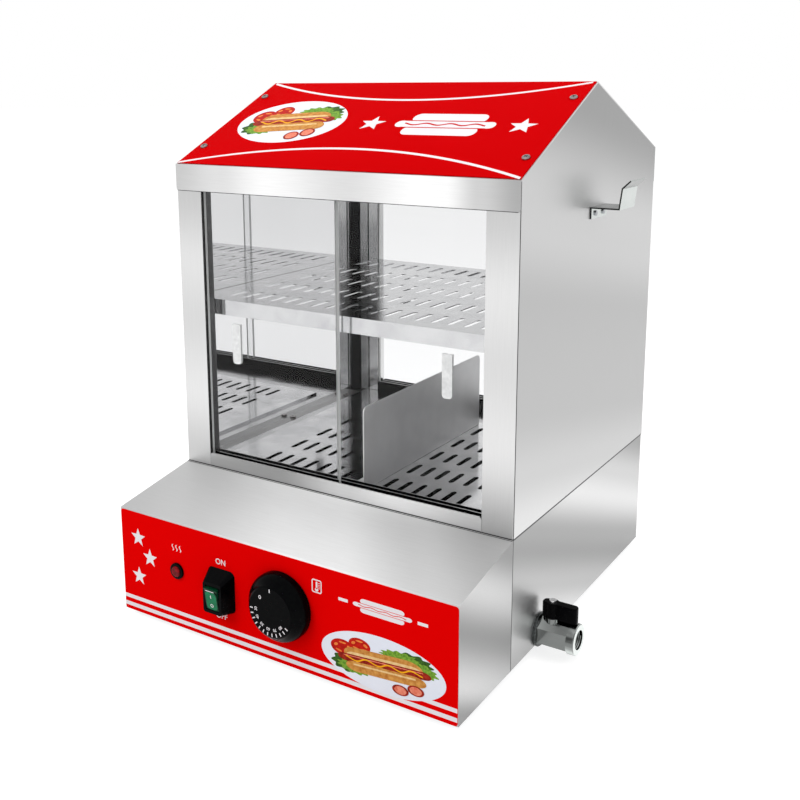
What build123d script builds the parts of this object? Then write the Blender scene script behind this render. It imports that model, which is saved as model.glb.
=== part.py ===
from build123d import *
import math
import os

# Countertop steamer for hot dogs and buns, in millimetres.
# X = 0 is the middle of the cabinet, Y = 0 its front plane with the control box at negative Y,
# and Z = 0 the table top. save() moves every piece by one shift, to put the origin at the
# middle of the footprint.

# Driving dimensions of the body
body_width = 400.0
cabinet_depth = 354.0
deck_forward = 102.0
foot_height = 8.0
base_rise = 132.0
panel_rise = 113.0
eave_rise = 461.0
rear_eave_rise = 474.0
ridge_rise = 545.0
ridge_setback = 170.0
header_height = 28.0
header_proud = 1.2
sheet = 1.2
fold_radius = 1.5

# Cabinet corners, door tracks and doors
column_width = 33.0
column_return = 16.0
rear_fold_start = 32.0
rear_fold_run = 14.8
track_gap = 6.8
track_rise = 15.0
upper_track_drop = 20.0
upper_track_rise = 22.0
track_side_gap = 0.2
glass_thickness = 4.0
glass_overlap = 6.0
glass_side_gap = 1.0
glass_floor_gap = 0.3
glass_head_room = 9.5
glass_corner = 3.0
handle_width = 11.0
handle_height = 43.0
handle_thickness = 2.6
handle_inset = 41.2
handle_rise = 142.5
handle_corner = 3.5

# Shelf, tray and divider
shelf_rise = 184.5
shelf_sheet = 1.0
shelf_side_gap = 0.8
shelf_front_gap = 0.8
shelf_rear_gap = 0.4
shelf_lip = 16.5
shelf_columns = 19
shelf_pitch = 18.1
shelf_rows = 5
shelf_row_pitch = 61.0
shelf_slot_length = 33.0
slot_width = 5.8
rail_leg = 14.0
tray_width = 340.0
tray_length = 258.0
tray_lip = 2.8
tray_columns = 15
tray_pitch = 17.2
tray_rows = 5
tray_row_pitch = 48.5
tray_slot_length = 30.0
divider_x = 23.0
divider_length = 252.0
divider_height = 88.0
divider_foot = 20.0
divider_corner = 6.0

# Water tank and heater
tank_width = 330.0
tank_length = 244.0
tank_front = 31.0
tank_depth = 105.0
tank_corner = 22.0
tank_floor_radius = 10.0
side_flange = 30.0
rear_flange = 40.0
foot_flange = 13.0
element_radius = 4.0
element_height = 20.0
element_outer = 84.0
element_inner = 28.0
element_tail = 6.0
element_rear_gap = 40.0
element_front_gap = 45.0
element_pin = 1.3
element_pin_length = 8.0
element_bend = 25.0
element_nut_flats = 17.0
element_nut_length = 6.0

# Controls, places measured from the cabinet's middle and from the base's lower edge
label_thickness = 0.5
label_margin = 0.5
knob_x = 11.0
control_height = 61.5
knob_radius = 34.0
knob_face_radius = 23.5
knob_height = 18.5
knob_gap = 0.8
knob_wall = 2.5
knob_rim = 4.5
knob_shoulder = 1.2
knob_hub_radius = 7.2
shaft_radius = 3.0
bush_radius = 4.8
thermostat_size = 34.0
thermostat_depth = 22.0
thermostat_corner = 3.0
thermostat_back_wall = 6.0
shaft_inset = 8.0
shaft_flat = 0.6
bulb_shift = 8.0
bulb_rise = 6.0
bulb_radius = 3.2
bulb_length = 80.0
bulb_nut_flats = 10.0
bulb_nut_length = 5.0
capillary_radius = 1.0
capillary_bend = 10.0
capillary_lead = 22.0
capillary_side = 26.0
capillary_drop = 8.0
capillary_run = 14.0
cutout_radius = 11.0
cutout_depth = 9.0
cutout_tab_gap = 5.0
tab_width = 6.3
tab_gauge = 0.8
tab_length = 8.0
block_x = 90.0
block_setback = 79.0
block_length = 44.0
block_depth = 18.0
block_height = 16.0
block_pitch = 14.0
block_screw_radius = 3.0
block_screw_depth = 6.0
switch_x = -64.0
switch_drop = 5.0
switch_width = 34.0
switch_height = 44.0
switch_corner = 6.0
hood_width = 23.0
hood_height = 32.0
hood_drop = 3.0
hood_depth = 14.5
rocker_width = 16.4
rocker_height = 23.0
rocker_depth = 15.5
rocker_pivot = 9.0
rocker_tilt = 9.0
rocker_drop = 4.0
switch_body_width = 22.0
switch_body_height = 30.0
switch_body_depth = 24.0
rocker_hollow = 1.2
rocker_back = 3.0
rocker_foot = 5.0
rocker_pin_radius = 1.25
rocker_pin_length = 1.2
tab_pitch_x = 8.0
tab_pitch_z = 14.0
lamp_x = -122.5
lamp_radius = 8.5
lamp_body_radius = 6.3
lamp_lens_radius = 5.6
lamp_proud = 2.2
lamp_dome = 1.6
lamp_edge = 0.8
lamp_body_depth = 22.0
lamp_tab_pitch = 6.0
lamp_tab_width = 4.8
lens_seat = 4.0

# Drain valve on the right wall, half inch pipe thread
valve_y = 64.0
valve_height = 14.0
pipe_radius = 10.4
pipe_bore = 6.5
outlet_radius = 9.5
outlet_length = 15.0
washer_radius = 17.0
washer_thickness = 3.5
hex_flats = 27.0
hex_length = 30.5
ring_radius = 15.5
ring_length = 8.0
ball_radius = 8.5
ball_bore = 5.0
stem_reach = 14.0
stem_radius = 3.9
lever_length = 36.0
lever_overhang = 10.0
lever_width = 10.0
lever_height = 15.5
lever_corner = 4.0
lever_edge = 1.2
lever_roof = 2.0
lever_screw_length = 10.0
spigot_length = 22.0
elbow_run = 14.0
elbow_socket = 12.5
socket_depth = 8.0
socket_wall = 6.0
locknut_length = 6.0
washer_edge = 1.0
boss_height = 3.4
boss_wall = 3.0

# Tongs hook on the right wall, heights from the base's lower edge
hook_y = 182.0
hook_width = 42.0
hook_sheet = 1.5
hook_plate = 423.0
hook_flange = 12.0
hook_out = 29.0
hook_bend_rise = 443.0
hook_tip_rise = 451.0
hook_reach = 40.0
hook_lean = 2.5
rivet_radius = 2.6
rivet_height = 1.4

# Fasteners, feet and the cable inlet
screw_radius = 2.0
screw_head_radius = 4.0
screw_head_height = 2.2
small_head_radius = 3.5
ledge_screw_length = 8.0
ledge_screw_share = (0.116, 0.508, 0.834)
sign_screw_length = 6.0
sign_screw_inset = 11.0
sign_screw_low = 36.0
sign_screw_high = 37.0
hole_clearance = 0.1
foot_radius = 11.0
foot_inset = 40.0
foot_nut_flats = 7.0
foot_nut_height = 3.2
foot_screw_length = 14.0
foot_taper = 2.0
plate_lip = 12.0
vent_columns = 9
vent_pitch = 34.4
vent_setback = 60.0
gland_x = 140.0
gland_height = 32.0
gland_radius = 8.0
gland_bore = 4.0
gland_flats = 20.0
gland_reach = 24.0
gland_flange = 6.0
gland_dome = 4.0
gland_thread = 14.0
gland_nut_length = 4.0

# Sheet clearances and running fits
running_gap = 0.3
fit_gap = 0.05

# Heights above the table and other sizes that follow
half = body_width / 2
inner = half - sheet
base_top = foot_height + base_rise
panel_top = foot_height + panel_rise
eave = foot_height + eave_rise
rear_eave = foot_height + rear_eave_rise
ridge = foot_height + ridge_rise
header_bottom = eave - header_height
header_shelf = header_bottom + upper_track_rise
ledge_top = base_top + sheet
door_half = half - column_width
track_half = door_half - track_side_gap
track_depth = 2 * track_gap + 3 * sheet
front_face = -deck_forward
label_face = front_face - label_thickness
control_z = foot_height + control_height
valve_z = foot_height + valve_height
tank_rear = tank_front + tank_length
tank_middle = (tank_front + tank_rear) / 2
tank_floor = ledge_top - tank_depth
shelf_top = base_top + shelf_rise
shelf_underside = shelf_top - shelf_sheet
shelf_front = track_depth - sheet + shelf_front_gap
shelf_rear = cabinet_depth - track_depth - shelf_rear_gap
tray_top = ledge_top + tray_lip
tray_front = track_depth + tray_lip
tray_middle = tray_front + tray_length / 2
front_slope = math.atan2(ridge - eave, ridge_setback)
rear_slope = math.atan2(ridge - rear_eave, cabinet_depth - ridge_setback)
valve_reach = washer_thickness + hex_length + ring_length
right_reach = half + max(valve_reach, hook_reach)
front_reach = -label_face + knob_height
rear_reach = cabinet_depth + gland_reach
to_origin = Location(((half - right_reach) / 2, (front_reach - rear_reach) / 2, 0))

os.makedirs("parts", exist_ok=True)


def save(piece, name):
    """Label a finished piece, move it to the shared origin and write its file."""
    placed = piece.part.moved(to_origin)
    placed.label = name
    export_step(placed, f"parts/{name}.step")


def folded(points, gauge):
    """Outline of a folded sheet: the points, and the same run moved over to its left."""
    runs = [Vector(*b) - Vector(*a) for a, b in zip(points, points[1:])]
    sides = [Vector(-run.Y, run.X).normalized() for run in runs]
    moved = [Vector(*points[0]) + sides[0] * gauge]
    for corner, before, after in zip(points[1:-1], sides, sides[1:]):
        bisector = (before + after).normalized()
        moved.append(Vector(*corner) + bisector * (gauge / bisector.dot(after)))
    moved.append(Vector(*points[-1]) + sides[-1] * gauge)
    return [*points, *[(point.X, point.Y) for point in reversed(moved)]]


def roof_line(drop):
    """Front eave, ridge and rear eave as (y, z), lowered square to both slopes by drop."""
    front_z = eave - drop / math.cos(front_slope)
    rear_z = rear_eave - drop / math.cos(rear_slope)
    climb = math.tan(front_slope)
    fall = math.tan(rear_slope)
    top_y = (rear_z - front_z + fall * cabinet_depth) / (climb + fall)
    return [(0, front_z), (top_y, front_z + climb * top_y), (cabinet_depth, rear_z)]


def slotted(width, columns, pitch, rows, row_pitch, length):
    """Slots in a grid, each with ends of three short flats."""
    straight = length / 2 - width / 2
    shoulder = width * 0.2
    quarter = [(width / 2, straight), (shoulder, length / 2)]
    upper = quarter + [(-x, y) for x, y in reversed(quarter)]
    lower = [(x, -y) for x, y in reversed(upper)]
    with GridLocations(pitch, row_pitch, columns, rows):
        Polygon(*upper, *lower, align=None, mode=Mode.SUBTRACT)


# Base shell: side walls and back wall folded from one sheet, with top flanges
with BuildPart() as base_shell:
    with BuildSketch(Plane.XY.offset(foot_height)):
        with Locations((0, cabinet_depth / 2)):
            Rectangle(body_width, cabinet_depth)
    extrude(amount=base_rise)
    back_folds = base_shell.edges().filter_by(Axis.Z).group_by(Axis.Y)[-1]
    fillet(back_folds, fold_radius + sheet)
    with BuildSketch(Plane.XY.offset(foot_height)):
        with Locations((0, (cabinet_depth - sheet) / 2)):
            Rectangle(2 * inner, cabinet_depth - sheet)
    extrude(amount=base_rise - sheet, mode=Mode.SUBTRACT)
    with BuildSketch(Plane.XY.offset(base_top)):
        with Locations((0, (cabinet_depth - rear_flange) / 2)):
            Rectangle(2 * (half - side_flange), cabinet_depth - rear_flange)
    extrude(amount=-sheet, mode=Mode.SUBTRACT)
    with BuildSketch(Plane.YZ.offset(half)):
        with Locations((valve_y, valve_z)):
            Circle(pipe_radius + hole_clearance)
    extrude(amount=-2 * sheet, mode=Mode.SUBTRACT)
    with BuildSketch(Plane.XZ.offset(-cabinet_depth)):
        with Locations((gland_x, foot_height + gland_height)):
            Circle(gland_radius + hole_clearance)
    extrude(amount=2 * sheet, mode=Mode.SUBTRACT)
    ledge_screw_x = inner - foot_flange / 2 - sheet / 2
    ledge_screw_rows = [share * cabinet_depth for share in ledge_screw_share]
    ledge_screw_spots = [(side * ledge_screw_x, y) for side in (-1, 1) for y in ledge_screw_rows]
    with Locations(*[(x, y, base_top) for x, y in ledge_screw_spots]):
        Hole(screw_radius + hole_clearance, 2 * sheet)
save(base_shell, "base_shell")

# Control box: sloping deck, control panel and cheeks, open at the back and underneath
with BuildPart() as control_box:
    with BuildSketch(Plane.YZ.offset(-half)):
        Polygon(
            (front_face, foot_height),
            (0, foot_height),
            (0, base_top),
            (front_face, panel_top),
            align=None,
        )
    extrude(amount=body_width)
    front_folds = control_box.edges().filter_by(Axis.X).sort_by(Axis.Y).filter_by(
        lambda edge: edge.center().Z > foot_height + sheet and edge.center().Y < front_face + sheet
    )
    fillet(front_folds, fold_radius)
    open_faces = [
        control_box.faces().sort_by(Axis.Y)[-1],
        control_box.faces().sort_by(Axis.Z)[0],
    ]
    offset(amount=-sheet, openings=open_faces)
    with BuildSketch(Plane.XY.offset(base_top)):
        with Locations((0, (tank_front - 1) / 2)):
            Rectangle(2 * (half - side_flange - running_gap), tank_front - 1)
    extrude(amount=-sheet)
    with BuildSketch(Plane.XZ.offset(-front_face)):
        with Locations((knob_x, control_z)):
            Circle(bush_radius + hole_clearance)
        with Locations((switch_x, control_z - switch_drop)):
            Rectangle(switch_body_width + 2 * hole_clearance, switch_body_height + 2 * hole_clearance)
        with Locations((lamp_x, control_z)):
            Circle(lamp_body_radius + hole_clearance)
    extrude(amount=-2 * sheet, mode=Mode.SUBTRACT)
save(control_box, "control_box")

# Printed face plate on the control panel
with BuildPart() as front_label:
    label_height = panel_rise - fold_radius - label_margin
    with BuildSketch(Plane.XZ.offset(-front_face)):
        with Locations((0, foot_height + label_margin + label_height / 2)):
            RectangleRounded(body_width - 2 * label_margin, label_height, 2 * fold_radius)
        with Locations((knob_x, control_z)):
            Circle(bush_radius + hole_clearance, mode=Mode.SUBTRACT)
        with Locations((switch_x, control_z - switch_drop)):
            Rectangle(
                switch_body_width + 2 * hole_clearance,
                switch_body_height + 2 * hole_clearance,
                mode=Mode.SUBTRACT,
            )
        with Locations((lamp_x, control_z)):
            Circle(lamp_body_radius + hole_clearance, mode=Mode.SUBTRACT)
    extrude(amount=label_thickness)
save(front_label, "front_label")

# Bottom plate with turned-up lips, vents and the foot holes
foot_spots = [
    (x, y)
    for x in (-half + foot_inset, half - foot_inset)
    for y in (front_face + foot_inset, cabinet_depth - foot_inset)
]
with BuildPart() as bottom_plate:
    plate_front = front_face + sheet
    plate_rear = cabinet_depth - sheet
    plate_middle = (plate_front + plate_rear) / 2
    with BuildSketch(Plane.XY.offset(foot_height)):
        with Locations((0, plate_middle)):
            Rectangle(2 * inner, plate_rear - plate_front)
            Rectangle(
                2 * (inner - sheet),
                plate_rear - plate_front - 2 * sheet,
                mode=Mode.SUBTRACT,
            )
    extrude(amount=plate_lip)
    with BuildSketch(Plane.YZ.offset(inner)):
        with Locations((valve_y, valve_z)):
            Rectangle(40, 2 * (valve_height - sheet))
    extrude(amount=-2 * sheet, mode=Mode.SUBTRACT)
    with BuildSketch(Plane.XY.offset(foot_height)):
        with Locations((0, plate_middle)):
            Rectangle(2 * inner, plate_rear - plate_front)
        for y in (front_face / 2, cabinet_depth - vent_setback):
            with Locations((0, y)):
                slotted(slot_width, vent_columns, vent_pitch, 1, 1, tray_slot_length)
    extrude(amount=sheet)
    with Locations(*[(x, y, foot_height + sheet) for x, y in foot_spots]):
        Hole(screw_radius + hole_clearance, 2 * sheet)
save(bottom_plate, "bottom_plate")

# Rubber feet, tapered, with a recess for the screw head underneath
with BuildPart() as rubber_feet:
    with Locations(*[(x, y, 0) for x, y in foot_spots]):
        Cone(foot_radius - foot_taper, foot_radius, foot_height, align=(Align.CENTER, Align.CENTER, Align.MIN))
        Cylinder(
            screw_head_radius + 0.5,
            foot_height / 2,
            align=(Align.CENTER, Align.CENTER, Align.MIN),
            mode=Mode.SUBTRACT,
        )
        Cylinder(
            screw_radius + hole_clearance,
            foot_height,
            align=(Align.CENTER, Align.CENTER, Align.MIN),
            mode=Mode.SUBTRACT,
        )
save(rubber_feet, "rubber_feet")

# Foot screws with their nuts on the bottom plate
with BuildPart() as foot_screws:
    head_bottom = foot_height / 2 - screw_head_height
    for x, y in foot_spots:
        with Locations((x, y, head_bottom)):
            Cylinder(screw_head_radius, screw_head_height, align=(Align.CENTER, Align.CENTER, Align.MIN))
            Cylinder(screw_radius, foot_screw_length, align=(Align.CENTER, Align.CENTER, Align.MIN))
        with BuildSketch(Plane((x, y, foot_height + sheet))):
            RegularPolygon(foot_nut_flats / 2, 6, major_radius=False)
        extrude(amount=foot_nut_height)
save(foot_screws, "foot_screws")

# Water tank: drawn pan with a flange ledge, heater holes and a drain hole
element_z = tank_floor + sheet + element_height
bulb_x = knob_x + bulb_shift
bulb_z = control_z + bulb_rise
elbow_bend = tank_floor - valve_z
spigot_end = inner - spigot_length
drain_x = spigot_end - elbow_run - elbow_bend
with BuildPart() as water_tank:
    with BuildSketch(Plane.XY.offset(tank_floor)):
        with Locations((0, tank_middle)):
            RectangleRounded(tank_width, tank_length, tank_corner)
    extrude(amount=tank_depth)
    fillet(water_tank.faces().sort_by(Axis.Z)[0].edges(), tank_floor_radius)
    offset(amount=-sheet, openings=water_tank.faces().sort_by(Axis.Z)[-1])
    with BuildSketch(Plane.XY.offset(base_top)):
        ledge_front = track_depth + running_gap
        ledge_rear = cabinet_depth - track_depth - running_gap
        with Locations((0, (ledge_front + ledge_rear) / 2)):
            Rectangle(2 * (inner - foot_flange - running_gap), ledge_rear - ledge_front)
        with Locations((0, tank_middle)):
            RectangleRounded(tank_width - sheet, tank_length - sheet, tank_corner, mode=Mode.SUBTRACT)
    extrude(amount=sheet)
    with BuildSketch(Plane.XZ.offset(-tank_front)):
        with Locations((-element_outer, element_z), (element_outer, element_z)):
            Circle(element_radius + fit_gap)
        with Locations((bulb_x, bulb_z)):
            Circle(screw_radius)
    extrude(amount=-2 * sheet, mode=Mode.SUBTRACT)
    with Locations((drain_x, valve_y, tank_floor + sheet)):
        Hole(pipe_bore, 2 * sheet)
save(water_tank, "water_tank")

# Heating element: one tube in three hairpins, its ends through the tank's front wall
element_start = tank_front - element_nut_length - element_tail
element_far = tank_rear - element_rear_gap
element_near = tank_front + element_front_gap
with BuildPart() as heating_element:
    with BuildLine() as element_path:
        FilletPolyline(
            (-element_outer, element_start, element_z),
            (-element_outer, element_far, element_z),
            (-element_inner, element_far, element_z),
            (-element_inner, element_near, element_z),
            (element_inner, element_near, element_z),
            (element_inner, element_far, element_z),
            (element_outer, element_far, element_z),
            (element_outer, element_start, element_z),
            radius=element_bend,
        )
    with BuildSketch(Plane.XZ.offset(-element_start)):
        with Locations((-element_outer, element_z)):
            Circle(element_radius)
    sweep()
    with BuildSketch(Plane.XZ.offset(-element_start)):
        with Locations((-element_outer, element_z), (element_outer, element_z)):
            Circle(element_pin)
    extrude(amount=element_pin_length)
save(heating_element, "heating_element")

# Clamping nuts of the element, one on each side of the tank wall at each end
with BuildPart() as element_nuts:
    for x in (-element_outer, element_outer):
        for y in (tank_front, tank_front + sheet + element_nut_length):
            with BuildSketch(Plane.XZ.offset(-y)):
                with Locations((x, element_z)):
                    RegularPolygon(element_nut_flats / 2, 6, major_radius=False)
                    Circle(element_radius + fit_gap, mode=Mode.SUBTRACT)
            extrude(amount=element_nut_length)
save(element_nuts, "element_nuts")

# Capillary thermostat: body with its bush through the panel
thermostat_front = front_face + sheet
thermostat_rear = thermostat_front + thermostat_depth
with BuildPart() as thermostat_body:
    with BuildSketch(Plane.XZ.offset(-thermostat_rear)):
        with Locations((knob_x, control_z)):
            RectangleRounded(thermostat_size, thermostat_size, thermostat_corner)
    extrude(amount=thermostat_depth)
    with BuildSketch(Plane.XZ.offset(-thermostat_front)):
        with Locations((knob_x, control_z)):
            Circle(bush_radius)
    extrude(amount=sheet + label_thickness)
    with BuildSketch(Plane.XZ.offset(-label_face)):
        with Locations((knob_x, control_z)):
            Circle(shaft_radius + fit_gap)
    extrude(amount=-(thermostat_depth - thermostat_back_wall), mode=Mode.SUBTRACT)
save(thermostat_body, "thermostat_body")

# Thermostat shaft with the flat that drives the knob
shaft_length = knob_height - knob_wall - 5 * running_gap
shaft_back = thermostat_depth - shaft_inset
flat_rise = (1 + shaft_flat) * shaft_radius
with BuildPart() as thermostat_shaft:
    with BuildSketch(Plane.XZ.offset(-(label_face + shaft_back))):
        with Locations((knob_x, control_z)):
            Circle(shaft_radius)
    extrude(amount=shaft_back + shaft_length)
    with BuildSketch(Plane.XZ.offset(-label_face)):
        with Locations((knob_x, control_z + flat_rise)):
            Rectangle(2 * shaft_radius, 2 * shaft_radius)
    extrude(amount=shaft_length, mode=Mode.SUBTRACT)
save(thermostat_shaft, "thermostat_shaft")

# Capillary and sensing bulb, from the thermostat through the tank's front wall
lead_end = thermostat_rear + capillary_lead
tail_start = tank_front - capillary_side
bulb_start = tank_front + capillary_run
with BuildPart() as thermostat_bulb:
    with BuildLine() as capillary_path:
        FilletPolyline(
            (bulb_x, thermostat_rear, bulb_z),
            (bulb_x, lead_end, bulb_z),
            (bulb_x + capillary_side, lead_end + capillary_run, bulb_z - capillary_drop),
            (bulb_x + capillary_side, tail_start - capillary_run, bulb_z - capillary_drop),
            (bulb_x, tail_start, bulb_z),
            (bulb_x, bulb_start, bulb_z),
            radius=capillary_bend,
        )
    with BuildSketch(Plane.XZ.offset(-thermostat_rear)):
        with Locations((bulb_x, bulb_z)):
            Circle(capillary_radius)
    sweep()
    with BuildSketch(Plane.XZ.offset(-bulb_start)):
        with Locations((bulb_x, bulb_z)):
            Circle(bulb_radius)
    extrude(amount=-bulb_length)
    with BuildSketch(Plane.XZ.offset(-(tank_front + sheet))):
        with Locations((bulb_x, bulb_z)):
            Circle(screw_radius - fit_gap)
    extrude(amount=sheet)
    with BuildSketch(Plane.XZ.offset(-tank_front)):
        with Locations((bulb_x, bulb_z)):
            RegularPolygon(bulb_nut_flats / 2, 6, major_radius=False)
    extrude(amount=bulb_nut_length)
save(thermostat_bulb, "thermostat_bulb")

# Safety cut-out: a disc thermostat on the tank's front wall
with BuildPart() as cutout_thermostat:
    with BuildSketch(Plane.XZ.offset(-tank_front)):
        with Locations((-element_inner, element_z)):
            Circle(cutout_radius)
    extrude(amount=cutout_depth)
    with BuildSketch(Plane.XZ.offset(-(tank_front - cutout_depth))):
        with Locations((-element_inner - cutout_tab_gap, element_z), (-element_inner + cutout_tab_gap, element_z)):
            Rectangle(tab_gauge, tab_width)
    extrude(amount=tab_length)
save(cutout_thermostat, "cutout_thermostat")

# Terminal block on the bottom plate
block_y = front_face + block_setback
block_top = foot_height + sheet + block_height
with BuildPart() as terminal_block:
    with BuildSketch(Plane.XY.offset(foot_height + sheet)):
        with Locations((block_x, block_y)):
            Rectangle(block_length, block_depth)
    extrude(amount=block_height)
    with Locations(*[(block_x + step * block_pitch, block_y, block_top) for step in (-1, 0, 1)]):
        Hole(block_screw_radius, block_screw_depth)
save(terminal_block, "terminal_block")

# Cable gland through the back wall: thread, hexagon flange and domed nut
gland_z = foot_height + gland_height
gland_face = Plane((gland_x, cabinet_depth, gland_z), x_dir=(1, 0, 0), z_dir=(0, 1, 0))
with BuildPart() as cable_gland:
    with BuildSketch(gland_face):
        RegularPolygon(gland_flats / 2, 6, major_radius=False)
    extrude(amount=gland_flange)
    with BuildSketch(gland_face.offset(gland_flange)):
        Circle(gland_flats / 2)
    extrude(amount=gland_reach - gland_flange)
    fillet(cable_gland.faces().sort_by(Axis.Y)[-1].edges(), gland_dome)
    with BuildSketch(gland_face):
        Circle(gland_radius)
    extrude(amount=-gland_thread)
    with BuildSketch(gland_face.offset(-gland_thread)):
        Circle(gland_bore)
    extrude(amount=gland_reach + gland_thread, mode=Mode.SUBTRACT)
save(cable_gland, "cable_gland")

# Locknut of the gland inside the back wall
with BuildPart() as gland_locknut:
    with BuildSketch(gland_face.offset(-sheet)):
        RegularPolygon(gland_flats / 2, 6, major_radius=False)
    extrude(amount=-gland_nut_length)
    with BuildSketch(gland_face):
        Circle(gland_radius + fit_gap)
    extrude(amount=-2 * gland_nut_length, mode=Mode.SUBTRACT)
save(gland_locknut, "gland_locknut")

# Dial knob: rim, curved body and flat face, hollow behind, with a hub on the shaft
knob_axis = Axis((knob_x, label_face, control_z), (0, -1, 0))
knob_section = Plane((knob_x, label_face, control_z), x_dir=(1, 0, 0), z_dir=(0, 0, -1))
with BuildPart() as dial_knob:
    with BuildSketch(knob_section):
        with BuildLine():
            rim = Line((knob_radius, knob_gap), (knob_radius, knob_rim))
            side = Spline(
                rim @ 1,
                (knob_face_radius + 2 * knob_shoulder, knob_height - knob_shoulder),
                tangents=[(0, 1), (-0.55, 0.83)],
            )
            shoulder = Line(side @ 1, (knob_face_radius + knob_shoulder / 2, knob_height))
            face = Line(shoulder @ 1, (0, knob_height))
            Polyline(
                face @ 1,
                (0, knob_height - knob_wall),
                (knob_face_radius - knob_shoulder, knob_height - knob_wall),
                (knob_radius - knob_wall, knob_rim - knob_gap),
                (knob_radius - knob_wall, knob_gap),
                (knob_radius, knob_gap),
            )
        make_face()
    revolve(axis=knob_axis)
    with BuildSketch(Plane.XZ.offset(-(label_face - knob_gap))):
        with Locations((knob_x, control_z)):
            Circle(knob_hub_radius)
            Circle(shaft_radius + fit_gap, mode=Mode.SUBTRACT)
        with Locations((knob_x, control_z + flat_rise + fit_gap)):
            Rectangle(2 * shaft_radius, 2 * shaft_radius)
    extrude(amount=knob_height - knob_wall - knob_gap)
save(dial_knob, "dial_knob")

# Switch: hooded housing in the panel, with the rocker's window and pivot holes
switch_z = control_z - switch_drop
rocker_z = control_z - switch_drop - rocker_drop + 1
window_width = rocker_width + 2 * running_gap
window_height = rocker_height + 8 * running_gap
with BuildPart() as switch_housing:
    with BuildSketch(Plane.XZ.offset(-label_face)):
        with Locations((switch_x, switch_z)):
            RectangleRounded(switch_width, switch_height, switch_corner)
    with BuildSketch(Plane.XZ.offset(-label_face + hood_depth)):
        with Locations((switch_x, switch_z - hood_drop)):
            RectangleRounded(hood_width, hood_height, switch_corner / 2)
    loft()
    with BuildSketch(Plane.XZ.offset(-label_face)):
        with Locations((switch_x, switch_z)):
            Rectangle(switch_body_width, switch_body_height)
    extrude(amount=-switch_body_depth)
    with BuildSketch(Plane.XZ.offset(-label_face)):
        with Locations((switch_x, rocker_z)):
            Rectangle(window_width, window_height)
    extrude(amount=rocker_depth, mode=Mode.SUBTRACT)
    with BuildSketch(Plane.XZ.offset(-(label_face + switch_body_depth))):
        with Locations((switch_x, switch_z)):
            with GridLocations(tab_pitch_x, tab_pitch_z, 2, 2):
                Rectangle(tab_gauge, tab_width)
    extrude(amount=-tab_length)
    pivot_reach = window_width + 2 * (rocker_pin_length + running_gap)
    pivot_plane = Plane.YZ.offset(switch_x - pivot_reach / 2)
    with BuildSketch(pivot_plane):
        with Locations((label_face - rocker_pivot, rocker_z)):
            Circle(rocker_pin_radius + fit_gap)
    extrude(amount=pivot_reach, mode=Mode.SUBTRACT)
save(switch_housing, "switch_housing")

# Rocker, with a hollow front face and pivot pins, tipped to its off side
rocker_hinge = Axis((switch_x, label_face - rocker_pivot, rocker_z), (1, 0, 0))
with BuildPart() as switch_rocker:
    face_y = label_face - rocker_depth
    with BuildSketch(Plane.YZ.offset(switch_x - rocker_width / 2)):
        with BuildLine():
            front = ThreePointArc(
                (face_y, rocker_z - rocker_height / 2),
                (face_y + rocker_hollow, rocker_z),
                (face_y, rocker_z + rocker_height / 2),
            )
            Polyline(
                front @ 1,
                (label_face - rocker_pivot, rocker_z + rocker_height / 2),
                (label_face - rocker_back, rocker_z + rocker_foot),
                (label_face - rocker_back, rocker_z - rocker_foot),
                (label_face - rocker_pivot, rocker_z - rocker_height / 2),
                front @ 0,
            )
        make_face()
    extrude(amount=rocker_width)
    with BuildSketch(Plane.YZ.offset(switch_x - window_width / 2 - rocker_pin_length)):
        with Locations((label_face - rocker_pivot, rocker_z)):
            Circle(rocker_pin_radius)
    extrude(amount=window_width + 2 * rocker_pin_length)
    tipped = switch_rocker.part.rotate(rocker_hinge, rocker_tilt)
    add(tipped, mode=Mode.REPLACE)
save(switch_rocker, "switch_rocker")

# Indicator lamp: bezel with its body through the panel, and the domed lens
lamp_face = Plane((lamp_x, label_face, control_z), x_dir=(1, 0, 0), z_dir=(0, -1, 0))
with BuildPart() as lamp_bezel:
    with BuildSketch(lamp_face):
        Circle(lamp_radius)
    extrude(amount=lamp_proud)
    fillet(lamp_bezel.faces().sort_by(Axis.Y)[0].edges(), lamp_edge)
    with BuildSketch(lamp_face):
        Circle(lamp_body_radius)
    extrude(amount=-lamp_body_depth)
    with BuildSketch(lamp_face.offset(-lens_seat)):
        Circle(lamp_lens_radius + fit_gap)
    extrude(amount=lamp_proud + lens_seat, mode=Mode.SUBTRACT)
    with BuildSketch(lamp_face.offset(-lamp_body_depth)):
        with GridLocations(lamp_tab_pitch, 1, 2, 1):
            Rectangle(tab_gauge, lamp_tab_width)
    extrude(amount=-tab_length)
save(lamp_bezel, "lamp_bezel")

with BuildPart() as lamp_lens:
    with BuildSketch(lamp_face.offset(-lens_seat)):
        Circle(lamp_lens_radius)
    extrude(amount=lens_seat + lamp_proud + lamp_dome)
    fillet(lamp_lens.faces().sort_by(Axis.Y)[0].edges(), lamp_dome)
save(lamp_lens, "lamp_lens")

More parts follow.
